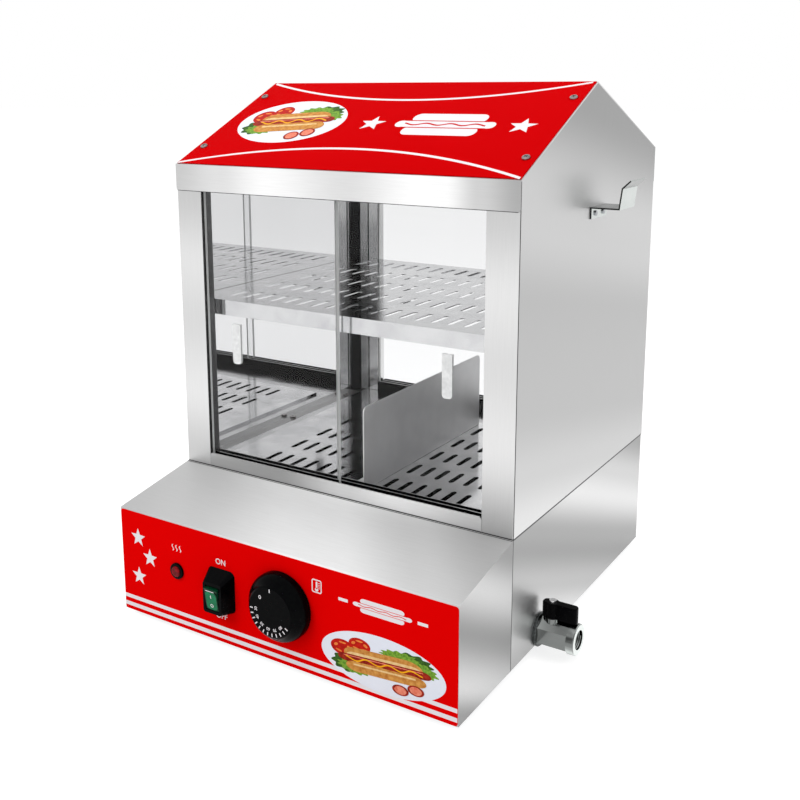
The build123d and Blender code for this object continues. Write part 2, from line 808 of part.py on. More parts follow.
# Drain elbow: from the tank floor down and out, with a socket for the valve's spigot
elbow_top = Plane((drain_x, valve_y, tank_floor), x_dir=(1, 0, 0), z_dir=(0, 0, 1))
elbow_axis = Axis((drain_x + elbow_bend, valve_y, tank_floor), (0, 1, 0))
with BuildPart() as drain_elbow:
    with BuildSketch(elbow_top):
        Circle(pipe_radius)
        Circle(pipe_bore, mode=Mode.SUBTRACT)
    revolve(axis=elbow_axis, revolution_arc=-90)
    with BuildSketch(Plane.YZ.offset(drain_x + elbow_bend)):
        with Locations((valve_y, valve_z)):
            Circle(pipe_radius)
            Circle(pipe_bore, mode=Mode.SUBTRACT)
    extrude(amount=elbow_run - socket_wall / 2)
    with BuildSketch(Plane.YZ.offset(spigot_end - socket_wall)):
        with Locations((valve_y, valve_z)):
            Circle(elbow_socket)
            Circle(pipe_bore, mode=Mode.SUBTRACT)
    extrude(amount=socket_wall)
    with BuildSketch(Plane.YZ.offset(spigot_end)):
        with Locations((valve_y, valve_z)):
            Circle(elbow_socket)
            Circle(pipe_radius + fit_gap, mode=Mode.SUBTRACT)
    extrude(amount=socket_depth)
save(drain_elbow, "drain_elbow")

# Locknut inside the wall and round washer outside it
with BuildPart() as drain_locknut:
    with BuildSketch(Plane.YZ.offset(inner)):
        with Locations((valve_y, valve_z)):
            RegularPolygon(elbow_socket, 6, major_radius=False)
            Circle(pipe_radius + fit_gap, mode=Mode.SUBTRACT)
    extrude(amount=-locknut_length)
save(drain_locknut, "drain_locknut")

with BuildPart() as valve_washer:
    with BuildSketch(Plane.YZ.offset(half)):
        with Locations((valve_y, valve_z)):
            Circle(washer_radius)
    extrude(amount=washer_thickness)
    chamfer(valve_washer.faces().sort_by(Axis.X)[-1].edges(), washer_edge)
    with BuildSketch(Plane.YZ.offset(half)):
        with Locations((valve_y, valve_z)):
            Circle(pipe_radius + fit_gap)
    extrude(amount=washer_thickness, mode=Mode.SUBTRACT)
save(valve_washer, "valve_washer")

# Valve body: spigot through the wall, hexagon, round outlet end, ball chamber and gland boss
stem_x = half + stem_reach
hex_start = half + washer_thickness
ring_start = hex_start + hex_length
chamber_radius = ball_radius + running_gap
stem_spot = Plane((stem_x, valve_y, valve_z))
boss_top = valve_z + hex_flats / 2 + boss_height
with BuildPart() as valve_body:
    with BuildSketch(Plane.YZ.offset(spigot_end)):
        with Locations((valve_y, valve_z)):
            Circle(pipe_radius)
    extrude(amount=spigot_length + sheet + washer_thickness)
    with BuildSketch(Plane.YZ.offset(hex_start)):
        with Locations((valve_y, valve_z)):
            RegularPolygon(hex_flats / 2, 6, major_radius=False, rotation=30)
    extrude(amount=hex_length)
    with BuildSketch(Plane.YZ.offset(ring_start)):
        with Locations((valve_y, valve_z)):
            Circle(ring_radius)
    extrude(amount=ring_length)
    chamfer(valve_body.faces().sort_by(Axis.X)[-1].edges(), washer_edge)
    with BuildSketch(stem_spot.offset(hex_flats / 2 - boss_wall)):
        Circle(stem_radius + boss_wall)
    extrude(amount=boss_wall + boss_height)
    with BuildSketch(Plane.YZ.offset(spigot_end)):
        with Locations((valve_y, valve_z)):
            Circle(pipe_bore)
    extrude(amount=half - spigot_end + washer_thickness + hex_length, mode=Mode.SUBTRACT)
    with BuildSketch(Plane.YZ.offset(stem_x - ball_radius)):
        with Locations((valve_y, valve_z)):
            Circle(chamber_radius)
    extrude(amount=2 * ball_radius + 2 * boss_wall, mode=Mode.SUBTRACT)
    with BuildSketch(Plane.YZ.offset(half + valve_reach)):
        with Locations((valve_y, valve_z)):
            Circle(outlet_radius)
    extrude(amount=-outlet_length, mode=Mode.SUBTRACT)
    with BuildSketch(stem_spot.offset(ball_radius / 2)):
        Circle(stem_radius + 2 * fit_gap)
    extrude(amount=hex_flats, mode=Mode.SUBTRACT)
save(valve_body, "valve_body")

# Ball with its through bore and the slot that takes the stem's tongue
tongue_width = 3.0
tongue_depth = 2.6
ball_mouth = math.sqrt(ball_radius**2 - ball_bore**2)
with BuildPart() as valve_ball:
    with BuildSketch(Plane((stem_x, valve_y, valve_z), x_dir=(1, 0, 0), z_dir=(0, -1, 0))):
        with BuildLine():
            crown = ThreePointArc((-ball_mouth, ball_bore), (0, ball_radius), (ball_mouth, ball_bore))
            Line(crown @ 1, crown @ 0)
        make_face()
    revolve(axis=Axis((stem_x, valve_y, valve_z), (1, 0, 0)))
    with BuildSketch(Plane((stem_x, valve_y, valve_z + ball_radius - tongue_depth))):
        Rectangle(3 * ball_radius, tongue_width + 2 * fit_gap)
    extrude(amount=2 * tongue_depth, mode=Mode.SUBTRACT)
save(valve_ball, "valve_ball")

# Seat rings on both sides of the ball
seat_width = 2.3
seat_reach = math.sqrt(ball_radius**2 - (ball_bore + 1) ** 2)
with BuildPart() as valve_seats:
    for side in (-1, 1):
        with BuildSketch(Plane.YZ.offset(stem_x + side * (seat_reach + running_gap / 3))):
            with Locations((valve_y, valve_z)):
                Circle(chamber_radius - fit_gap)
                Circle(ball_bore + 1, mode=Mode.SUBTRACT)
        extrude(amount=side * seat_width)
    with Locations((stem_x, valve_y, valve_z)):
        Sphere(ball_radius + fit_gap, mode=Mode.SUBTRACT)
save(valve_seats, "valve_seats")

# Stem: tongue in the ball's slot, shaft through the boss and the lever
lever_bottom = boss_top + running_gap
lever_top = lever_bottom + lever_height
with BuildPart() as valve_stem:
    with BuildSketch(Plane((stem_x, valve_y, valve_z + ball_radius - tongue_depth + fit_gap))):
        Rectangle(2 * stem_radius - 1, tongue_width)
    extrude(amount=tongue_depth + 1)
    with BuildSketch(Plane((stem_x, valve_y, valve_z + ball_radius + fit_gap))):
        Circle(stem_radius)
    extrude(amount=lever_top - lever_roof - valve_z - ball_radius - fit_gap)
    with Locations((stem_x, valve_y, lever_top - lever_roof)):
        Hole(screw_radius + fit_gap, lever_screw_length)
save(valve_stem, "valve_stem")

# Lever: a wing in line with the pipe when the valve is open
with BuildPart() as valve_lever:
    with BuildSketch(Plane((stem_x, valve_y, lever_bottom))):
        with Locations((lever_length / 2 - lever_overhang, 0)):
            RectangleRounded(lever_length, lever_width, lever_corner)
        Circle(stem_radius + boss_wall)
    extrude(amount=lever_height)
    fillet(valve_lever.faces().sort_by(Axis.Z)[-1].edges(), lever_edge)
    with Locations((stem_x, valve_y, lever_bottom)):
        Cylinder(
            stem_radius + fit_gap,
            2 * (lever_height - lever_roof),
            mode=Mode.SUBTRACT,
        )
        Cylinder(
            screw_radius + fit_gap,
            4 * lever_height,
            mode=Mode.SUBTRACT,
        )
save(valve_lever, "valve_lever")

with BuildPart() as lever_screw:
    with Locations((stem_x, valve_y, lever_top)):
        Cylinder(small_head_radius, lever_roof, align=(Align.CENTER, Align.CENTER, Align.MIN))
        Cylinder(screw_radius, lever_screw_length, align=(Align.CENTER, Align.CENTER, Align.MAX))
save(lever_screw, "lever_screw")


def side_panel(side):
    """Cabinet wall with its front column, foot flange, roof flanges and rear door strip."""
    outer = side * half
    inward = -side
    wall_plane = Plane.YZ.offset(outer)
    with BuildPart() as panel:
        with BuildSketch(wall_plane):
            Polygon((0, base_top), *roof_line(sheet), (cabinet_depth, base_top), align=None)
        extrude(amount=inward * sheet)
        with BuildSketch(Plane.XY.offset(base_top)):
            with Locations((side * (half - column_width / 2), sheet / 2)):
                Rectangle(column_width, sheet)
            with Locations((side * (door_half + sheet / 2), column_return / 2)):
                Rectangle(sheet, column_return)
            with Locations((side * (half - column_width / 2), cabinet_depth - sheet / 2)):
                Rectangle(column_width, sheet)
        extrude(amount=header_shelf - base_top)
        with BuildSketch(Plane.XY.offset(base_top)):
            foot_rear = cabinet_depth - rear_fold_start
            with Locations((side * (inner - foot_flange / 2), (sheet + foot_rear) / 2)):
                Rectangle(foot_flange, foot_rear - sheet)
        extrude(amount=sheet)
        with BuildSketch(Plane.YZ.offset(side * inner)):
            Polygon(*roof_line(sheet), *reversed(roof_line(2 * sheet)), align=None)
        extrude(amount=inward * 16)
        corner = panel.edges().filter_by(Axis.Z).filter_by(
            lambda edge: abs(edge.center().X - outer) < 0.01 and edge.center().Y < 0.01
        )
        fillet(corner, sheet - 0.2)
        with Locations(*[(x, y, ledge_top) for x, y in ledge_screw_spots if x * side > 0]):
            Hole(screw_radius + hole_clearance, 2 * sheet)
        with Locations(*[sign_slope.offset(-sheet) * Pos(side * sign_screw_x, s) for s in sign_screw_rows]):
            Hole(screw_radius + hole_clearance, 2 * sheet)
    return panel


# The front slope of the roof: X across, and up the slope from the eave
slope_length = math.hypot(ridge_setback, ridge - eave)
sign_slope = Plane(
    (0, 0, eave),
    x_dir=(1, 0, 0),
    z_dir=(0, -math.sin(front_slope), math.cos(front_slope)),
)
sign_thickness = 0.8
sign_margin = 1.0
sign_screw_x = half - sign_screw_inset
sign_screw_rows = (sign_screw_low, slope_length - sign_screw_high)

left_side_panel = side_panel(-1)
save(left_side_panel, "left_side_panel")
right_side_panel = side_panel(1)
save(right_side_panel, "right_side_panel")


def rear_post(side):
    """Folded corner post: from the wall across the corner to the rear door jamb."""
    start = cabinet_depth - rear_fold_start
    face_y = cabinet_depth - track_depth + sheet
    points = [
        (-side * inner, start),
        (-side * (inner - rear_fold_run), face_y),
        (-side * door_half, face_y),
        (-side * door_half, cabinet_depth - sheet),
    ]
    gauge = -side * sheet
    with BuildPart() as post:
        with BuildSketch(Plane.XY.offset(ledge_top)):
            outline = folded([(-x, y) for x, y in points], gauge)
            Polygon(*outline, align=None)
        extrude(amount=header_shelf - ledge_top)
        with BuildSketch(Plane.XY.offset(ledge_top)):
            with Locations((side * (inner + 5), start)):
                Rectangle(10, 10)
        extrude(amount=header_shelf - ledge_top, mode=Mode.SUBTRACT)
    return post


left_rear_post = rear_post(-1)
save(left_rear_post, "left_rear_post")
right_rear_post = rear_post(1)
save(right_rear_post, "right_rear_post")

# Roof: one sheet bent along the ridge
with BuildPart() as roof_panel:
    with BuildSketch(Plane.YZ.offset(-half)):
        Polygon(*roof_line(0), *reversed(roof_line(sheet)), align=None)
    extrude(amount=body_width)
    sign_screw_spots = [(side * sign_screw_x, s) for side in (-1, 1) for s in sign_screw_rows]
    with Locations(*[sign_slope * Pos(x, s) for x, s in sign_screw_spots]):
        Hole(screw_radius + hole_clearance, 3 * sheet)
save(roof_panel, "roof_panel")

# Sign plate over the front slope
with BuildPart() as sign_panel:
    with BuildSketch(sign_slope):
        with Locations((0, slope_length / 2)):
            Rectangle(body_width - 2 * sign_margin, slope_length - 2 * sign_margin)
        with Locations(*sign_screw_spots):
            Circle(screw_radius + hole_clearance, mode=Mode.SUBTRACT)
    extrude(amount=sign_thickness)
save(sign_panel, "sign_panel")

# Screws of the sign plate, round heads
with BuildPart() as sign_screws:
    for side in (-1, 1):
        for s in sign_screw_rows:
            with BuildSketch(sign_slope.offset(sign_thickness)):
                with Locations((side * sign_screw_x, s)):
                    Circle(screw_head_radius)
            extrude(amount=screw_head_height)
            with BuildSketch(sign_slope.offset(sign_thickness)):
                with Locations((side * sign_screw_x, s)):
                    Circle(screw_radius)
            extrude(amount=-sign_screw_length)
    outward = Axis(sign_slope.origin, sign_slope.z_dir)
    tops = sign_screws.faces().filter_by(outward).group_by(outward)[-1]
    fillet(tops.edges(), screw_head_height * 0.6)
save(sign_screws, "sign_screws")


def header(face_y, outward, top):
    """Header across the door opening: a plate on the columns with a level flange behind it."""
    with BuildPart() as piece:
        with BuildSketch(Plane.XZ.offset(-face_y)):
            with Locations((0, (header_bottom + top) / 2)):
                Rectangle(body_width, top - header_bottom)
        extrude(amount=-outward * header_proud)
        lower_corners = piece.edges().filter_by(Axis.Y).group_by(Axis.Z)[0]
        fillet(lower_corners, 2 * fold_radius)
        with BuildSketch(Plane.XY.offset(header_shelf)):
            with Locations((0, face_y - outward * (track_depth + 1) / 2)):
                Rectangle(2 * (inner - running_gap), track_depth + 1)
        extrude(amount=sheet)
    return piece


front_header = header(0, -1, eave)
save(front_header, "front_header")
rear_header = header(cabinet_depth, 1, rear_eave)
save(rear_header, "rear_header")


def door_track(front_y, floor_z, upward, rise):
    """Double track: a web with three flanges, which make two channels for the glass."""
    with BuildPart() as piece:
        with BuildSketch(Plane.YZ.offset(-track_half)):
            with Locations((front_y + track_depth / 2, floor_z + upward * sheet / 2)):
                Rectangle(track_depth, sheet)
            flange_step = track_gap + sheet
            for index in range(3):
                with Locations((front_y + sheet / 2 + index * flange_step, floor_z + upward * rise / 2)):
                    Rectangle(sheet, rise)
        extrude(amount=2 * track_half)
        ends = piece.edges().filter_by(Axis.Y).group_by(Axis.Z)[-1 if upward > 0 else 0]
        fillet(ends, 2 * fold_radius)
    return piece


rear_track_front = cabinet_depth - track_depth
front_lower_track = door_track(0, base_top, 1, track_rise)
save(front_lower_track, "front_lower_track")
front_upper_track = door_track(0, header_shelf, -1, upper_track_drop)
save(front_upper_track, "front_upper_track")
rear_lower_track = door_track(rear_track_front, base_top, 1, track_rise)
save(rear_lower_track, "rear_lower_track")
rear_upper_track = door_track(rear_track_front, header_shelf, -1, upper_track_drop)
save(rear_upper_track, "rear_upper_track")

# Glass doors: two in each pair, one in each channel, each with a tab handle
pane_width = door_half - glass_side_gap + glass_overlap / 2
pane_bottom = base_top + sheet + glass_floor_gap
pane_top = header_shelf - sheet - glass_head_room
outer_pane_y = sheet + (track_gap - glass_thickness) / 2 + 0.4
pane_step = track_gap + sheet - 1
inner_pane_y = outer_pane_y + pane_step


def glass_door(side, near_y):
    """One pane, closed against the column on its side, with its near face at near_y."""
    with BuildPart() as pane:
        with BuildSketch(Plane.XZ.offset(-near_y)):
            pane_x = side * (door_half - glass_side_gap - pane_width / 2)
            with Locations((pane_x, (pane_bottom + pane_top) / 2)):
                RectangleRounded(pane_width, pane_top - pane_bottom, glass_corner)
        extrude(amount=-glass_thickness)
    return pane


def tab_handle(side, face_y, outward):
    """Thin tab glued upright on the outer face of a pane."""
    with BuildPart() as tab:
        with BuildSketch(Plane.XZ.offset(-face_y)):
            with Locations((side * (door_half - glass_side_gap - handle_inset), base_top + handle_rise)):
                Rectangle(handle_width, handle_height)
        extrude(amount=-outward * handle_thickness)
        lower = tab.edges().filter_by(Axis.Y).group_by(Axis.Z)[0]
        fillet(lower, handle_corner)
    return tab


rear_outer_y = cabinet_depth - outer_pane_y - glass_thickness
rear_inner_y = cabinet_depth - inner_pane_y - glass_thickness
door_places = {
    "front_left": (-1, outer_pane_y, outer_pane_y, -1),
    "front_right": (1, inner_pane_y, inner_pane_y, -1),
    "rear_right": (1, rear_outer_y, rear_outer_y + glass_thickness, 1),
    "rear_left": (-1, rear_inner_y, rear_inner_y + glass_thickness, 1),
}
for place, (side, near_y, handle_y, outward) in door_places.items():
    save(glass_door(side, near_y), f"{place}_door")
    save(tab_handle(side, handle_y, outward), f"{place}_handle")

# Shelf rails: angles on the side walls
with BuildPart() as shelf_rails:
    for side in (-1, 1):
        points = [
            (inner, shelf_underside - rail_leg),
            (inner, shelf_underside),
            (inner - rail_leg, shelf_underside),
        ]
        outline = folded(points, sheet)
        with BuildSketch(Plane.XZ.offset(-(shelf_front + 3))):
            Polygon(*[(side * x, z) for x, z in outline], align=None)
        extrude(amount=-(cabinet_depth - rear_fold_start - shelf_front - 8))
save(shelf_rails, "shelf_rails")

# Upper shelf: slotted sheet with front and rear lips, its rear corners cut for the posts
shelf_half = inner - shelf_side_gap
shelf_middle = (shelf_front + shelf_rear) / 2
with BuildPart() as upper_shelf:
    with BuildSketch(Plane.XY.offset(shelf_top)):
        cut = rear_fold_run + 3
        Polygon(
            (-shelf_half, shelf_front),
            (shelf_half, shelf_front),
            (shelf_half, shelf_rear - cut),
            (shelf_half - cut, shelf_rear),
            (cut - shelf_half, shelf_rear),
            (-shelf_half, shelf_rear - cut),
            align=None,
        )
        with Locations((0, shelf_middle)):
            slotted(slot_width, shelf_columns, shelf_pitch, shelf_rows, shelf_row_pitch, shelf_slot_length)
    extrude(amount=-shelf_sheet)
    with BuildSketch(Plane.XY.offset(shelf_top)):
        with Locations((0, shelf_front + shelf_sheet / 2)):
            Rectangle(2 * shelf_half, shelf_sheet)
        with Locations((0, shelf_rear - shelf_sheet / 2)):
            Rectangle(2 * (shelf_half - cut), shelf_sheet)
    extrude(amount=-shelf_lip)
save(upper_shelf, "upper_shelf")

# Lower tray: slotted sheet with a turned-down rim on the tank's ledge
with BuildPart() as lower_tray:
    with BuildSketch(Plane.XY.offset(tray_top)):
        with Locations((0, tray_middle)):
            Rectangle(tray_width, tray_length)
            slotted(slot_width, tray_columns, tray_pitch, tray_rows, tray_row_pitch, tray_slot_length)
    extrude(amount=-shelf_sheet)
    with BuildSketch(Plane.XY.offset(tray_top)):
        with Locations((0, tray_middle)):
            Rectangle(tray_width, tray_length)
            Rectangle(tray_width - 2 * shelf_sheet, tray_length - 2 * shelf_sheet, mode=Mode.SUBTRACT)
    extrude(amount=-tray_lip)
save(lower_tray, "lower_tray")

# Divider: a folded plate that stands on the tray
with BuildPart() as tray_divider:
    divider_z = tray_top + running_gap
    points = [
        (divider_x - divider_foot, divider_z),
        (divider_x, divider_z),
        (divider_x, divider_z + divider_height),
    ]
    with BuildSketch(Plane.XZ.offset(-tray_front)):
        Polygon(*folded(points, shelf_sheet), align=None)
    extrude(amount=-divider_length)
    top_corners = tray_divider.edges().filter_by(Axis.X).group_by(Axis.Z)[-1]
    fillet(top_corners, divider_corner)
save(tray_divider, "tray_divider")

# Screws that hold the cabinet walls on the base
with BuildPart() as ledge_screws:
    for x, y in ledge_screw_spots:
        with Locations((x, y, ledge_top)):
            Cylinder(
                small_head_radius,
                screw_head_height,
                align=(Align.CENTER, Align.CENTER, Align.MIN),
            )
            Cylinder(screw_radius, ledge_screw_length, align=(Align.CENTER, Align.CENTER, Align.MAX))
save(ledge_screws, "ledge_screws")

# Tongs hook: a bent strip with a flange on the wall and a flared tip
with BuildPart() as tongs_hook:
    wall_points = [
        (half, foot_height + hook_plate - hook_flange),
        (half, foot_height + hook_plate),
        (half + hook_out, foot_height + hook_plate),
        (half + hook_out + hook_lean, foot_height + hook_bend_rise),
        (half + hook_reach, foot_height + hook_tip_rise),
    ]
    with BuildSketch(Plane.XZ.offset(-(hook_y - hook_width / 2))):
        Polygon(*folded(wall_points, -hook_sheet), align=None)
    extrude(amount=-hook_width)
save(tongs_hook, "tongs_hook")

with BuildPart() as hook_rivets:
    rivet_z = foot_height + hook_plate - hook_flange / 2 - hook_sheet / 2
    with BuildSketch(Plane.YZ.offset(half + hook_sheet)):
        with Locations((hook_y - hook_width / 4, rivet_z), (hook_y + hook_width / 4, rivet_z)):
            Circle(rivet_radius)
    extrude(amount=rivet_height)
save(hook_rivets, "hook_rivets")
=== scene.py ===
import math

import bpy
from mathutils import Matrix, Vector


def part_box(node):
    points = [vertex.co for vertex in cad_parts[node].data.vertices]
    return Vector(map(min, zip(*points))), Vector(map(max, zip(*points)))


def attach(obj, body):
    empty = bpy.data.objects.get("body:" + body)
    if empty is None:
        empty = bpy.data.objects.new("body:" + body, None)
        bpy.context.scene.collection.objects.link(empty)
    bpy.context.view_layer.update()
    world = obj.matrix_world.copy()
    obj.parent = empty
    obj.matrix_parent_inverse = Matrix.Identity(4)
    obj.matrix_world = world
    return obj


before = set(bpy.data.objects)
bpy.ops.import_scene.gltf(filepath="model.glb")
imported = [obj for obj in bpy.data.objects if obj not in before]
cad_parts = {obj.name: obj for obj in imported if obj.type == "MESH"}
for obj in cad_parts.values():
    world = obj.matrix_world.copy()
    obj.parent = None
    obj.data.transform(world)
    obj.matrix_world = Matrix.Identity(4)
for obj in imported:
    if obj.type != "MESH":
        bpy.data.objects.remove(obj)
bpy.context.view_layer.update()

print("frame loaded")

# Places are millimetres on the drawing: x from the cabinet's middle, y from its front, z from the table
drawingShift = (21.0, 128.5)


def spot(x, y, z):
    # a place on the drawing, in metres in the model
    return Vector(((x - drawingShift[0]) / 1000, (y - drawingShift[1]) / 1000, z / 1000))


def frontOf(node):
    # how far forward a CAD node reaches, on the drawing
    return round(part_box(node)[0][1] * 1000 + drawingShift[1], 2)


def selectOnly(item=None):
    bpy.ops.object.select_all(action="DESELECT")
    if item:
        bpy.context.view_layer.objects.active = item
        item.select_set(True)


def inScene(name, data):
    item = bpy.data.objects.new(name, data)
    bpy.context.scene.collection.objects.link(item)
    return item


# Small helpers for node trees
def grey(level):
    return (level, level, level, 1)


def mathNode(tree, operation, first, second=0.0):
    node = tree.nodes.new("ShaderNodeMath")
    node.operation = operation
    for socket, value in zip(node.inputs, (first, second)):
        if isinstance(value, (int, float)):
            socket.default_value = value
        else:
            tree.links.new(value, socket)
    return node.outputs[0]


def mixShaders(tree, share, first, second):
    mix = tree.nodes.new("ShaderNodeMixShader")
    for socket, source in zip(mix.inputs, (share, first, second)):
        tree.links.new(source, socket)
    return mix.outputs[0]


def mixed(tree, share, first, second, blend="MIX"):
    # a mix of two colours, whose sockets are 0 for the share and 6 and 7 for the colours
    mix = tree.nodes.new("ShaderNodeMix")
    mix.data_type = "RGBA"
    mix.blend_type = blend
    for socket, value in ((0, share), (6, first), (7, second)):
        if isinstance(value, (int, float, tuple)):
            mix.inputs[socket].default_value = value
        else:
            tree.links.new(value, mix.inputs[socket])
    return mix.outputs[2]


def parts(tree, vector):
    # the X, Y and Z of a vector
    split = tree.nodes.new("ShaderNodeSeparateXYZ")
    tree.links.new(vector, split.inputs[0])
    return split.outputs


def between(tree, value, low, high):
    above = mathNode(tree, "GREATER_THAN", value, low)
    below = mathNode(tree, "LESS_THAN", value, high)
    return mathNode(tree, "MULTIPLY", above, below)


# Camera and studio
view = {
    "place": (0.5538, -0.92884, 0.54171),
    "turn": 31.838,
    "dip": 11.18,
    "lens": 46.144,
    "shift": -0.13,
}
studio = {
    "skyLight": 0.62,
    "floorSize": 60,
    "floorShade": 0.8,
    "floorGlow": 0.74,
    "floorShare": 0.5,
    "lamps": [
        # name, place, aim, size, watts
        ("keyLamp", (-0.9, -1.6, 1.7), (0, 0, 0.25), 1.2, 20),
        ("sideLamp", (1.9, 0.2, 1.3), (0, 0, 0.25), 1.0, 9),
        ("topLamp", (0.1, 0.3, 2.1), (0, 0, 0.2), 1.4, 11),
    ],
}


def setCamera():
    lens = bpy.data.cameras.new("photoCamera")
    lens.lens = view["lens"]
    lens.sensor_width = 36
    lens.shift_y = view["shift"]
    lens.clip_start = 0.01
    camera = inScene("photoCamera", lens)
    camera.location = view["place"]
    camera.rotation_euler = (math.radians(90 - view["dip"]), 0, math.radians(view["turn"]))
    bpy.context.scene.camera = camera


def shownToEye(tree):
    # 1 for camera, mirror and see-through rays, 0 for light that bounces off matt things
    rays = tree.nodes.new("ShaderNodeLightPath").outputs
    seen = mathNode(tree, "MAXIMUM", rays["Is Camera Ray"], rays["Is Glossy Ray"])
    return mathNode(tree, "MAXIMUM", seen, rays["Is Transmission Ray"])


def whiteSky(tree, strength):
    sky = tree.nodes.new("ShaderNodeBackground")
    sky.inputs["Color"].default_value = grey(1)
    sky.inputs["Strength"].default_value = strength
    return sky.outputs[0]


def setWorld():
    world = bpy.data.worlds.new("studioWorld")
    bpy.context.scene.world = world
    world.use_nodes = True
    tree = world.node_tree
    tree.nodes.clear()
    out = tree.nodes.new("ShaderNodeOutputWorld")
    sky = mixShaders(tree, shownToEye(tree), whiteSky(tree, studio["skyLight"]), whiteSky(tree, 1.0))
    tree.links.new(sky, out.inputs["Surface"])


def setLamps():
    for name, place, aim, size, watts in studio["lamps"]:
        light = bpy.data.lights.new(name, "AREA")
        light.shape = "DISK"
        light.size = size
        light.energy = watts
        lamp = inScene(name, light)
        lamp.location = place
        lamp.rotation_euler = (Vector(aim) - Vector(place)).to_track_quat("-Z", "Y").to_euler()
        lamp.visible_glossy = False  # metal shows the white room, not the lamps


def mattFloor(tree, shade):
    matt = tree.nodes.new("ShaderNodeBsdfDiffuse")
    matt.inputs["Color"].default_value = grey(shade)
    return matt.outputs[0]


def setFloor():
    # a floor that glows white to the eye, with a soft shadow, and is plain matt for other light
    selectOnly()
    bpy.ops.mesh.primitive_plane_add(size=studio["floorSize"], location=(0, 0, 0))
    floor = bpy.context.object
    floor.name = "studioFloor"
    paint = bpy.data.materials.new("floorPaint")
    paint.use_nodes = True
    tree = paint.node_tree
    tree.nodes.clear()
    out = tree.nodes.new("ShaderNodeOutputMaterial")
    glow = tree.nodes.new("ShaderNodeEmission")
    glow.inputs["Strength"].default_value = studio["floorGlow"]
    both = tree.nodes.new("ShaderNodeAddShader")
    tree.links.new(mattFloor(tree, studio["floorShare"]), both.inputs[0])
    tree.links.new(glow.outputs[0], both.inputs[1])
    look = mixShaders(tree, shownToEye(tree), mattFloor(tree, studio["floorShade"]), both.outputs[0])
    tree.links.new(look, out.inputs["Surface"])
    floor.data.materials.append(paint)


setCamera()
setWorld()
setLamps()
setFloor()
bpy.context.scene.view_settings.view_transform = "Standard"
print("studio ready")

# Materials
paints = {}
squareOn = 0.6  # the share of a face's direction past which it looks along an axis
dark = (0.012, 0.012, 0.013)
# painted shade for the thin gaps where sheets meet
gapShade = (0.05, 0.05, 0.052)
grainScale = {"sheet": 900.0, "metal": 30.0, "plastic": 220.0, "plating": 60.0, "glass": 30.0}
bumpDistance = 0.0004


def newPaint(name):
    paint = bpy.data.materials.new(name)
    paint.use_nodes = True
    paints[name] = paint
    return paint.node_tree, paint.node_tree.nodes["Principled BSDF"]


def drawingPoint(tree):
    # the point on the drawing, from the object's own coordinates
    place = tree.nodes.new("ShaderNodeTexCoord")
    scale = tree.nodes.new("ShaderNodeMapping")
    scale.inputs["Scale"].default_value = (1000, 1000, 1000)
    scale.inputs["Location"].default_value = (*drawingShift, 0)
    tree.links.new(place.outputs["Object"], scale.inputs["Vector"])
    return scale.outputs["Vector"]


def faceTurns(tree):
    # which way a face looks, as X, Y and Z from -1 to 1
    return parts(tree, tree.nodes.new("ShaderNodeTexCoord").outputs["Normal"])


def looksAlong(tree, turn, share=squareOn):
    return mathNode(tree, "GREATER_THAN", mathNode(tree, "ABSOLUTE", turn), share)


def grainNoise(tree, scale, stretch=(1, 1, 1), detail=4.0):
    place = tree.nodes.new("ShaderNodeTexCoord")
    stretchNode = tree.nodes.new("ShaderNodeMapping")
    stretchNode.inputs["Scale"].default_value = stretch
    noise = tree.nodes.new("ShaderNodeTexNoise")
    noise.inputs["Scale"].default_value = scale
    noise.inputs["Detail"].default_value = detail
    tree.links.new(place.outputs["Object"], stretchNode.inputs["Vector"])
    tree.links.new(stretchNode.outputs["Vector"], noise.inputs["Vector"])
    return noise.outputs["Fac"]


def spread(tree, source, low, high, start=0.3, stop=0.7):
    # a value between start and stop becomes one between low and high
    ramp = tree.nodes.new("ShaderNodeMapRange")
    ramp.inputs["From Min"].default_value = start
    ramp.inputs["From Max"].default_value = stop
    ramp.inputs["To Min"].default_value = low
    ramp.inputs["To Max"].default_value = high
    tree.links.new(source, ramp.inputs["Value"])
    return ramp.outputs["Result"]


def twoTone(tree, source, deep, light):
    ramp = tree.nodes.new("ShaderNodeValToRGB")
    elements = ramp.color_ramp.elements
    for element, position, tone in zip(elements, (0.3, 0.7), (deep, light)):
        element.position = position
        element.color = (*tone, 1)
    tree.links.new(source, ramp.inputs["Fac"])
    return ramp.outputs["Color"]


def bumped(tree, shader, source, depth):
    bump = tree.nodes.new("ShaderNodeBump")
    bump.inputs["Strength"].default_value = depth
    bump.inputs["Distance"].default_value = bumpDistance
    tree.links.new(source, bump.inputs["Height"])
    tree.links.new(bump.outputs["Normal"], shader.inputs["Normal"])


def greyRamp(tree, share, stops):
    # brightness as it shows, from 0 to 1, along a share from 0 to 1
    ramp = tree.nodes.new("ShaderNodeValToRGB")
    ramp.color_ramp.interpolation = "EASE"
    elements = ramp.color_ramp.elements
    while len(elements) < len(stops):
        elements.new(0.5)
    for element, (position, brightness) in zip(elements, stops):
        element.position = position
        element.color = grey(brightness**2.2)
    tree.links.new(share, ramp.inputs["Fac"])
    return ramp.outputs["Color"]
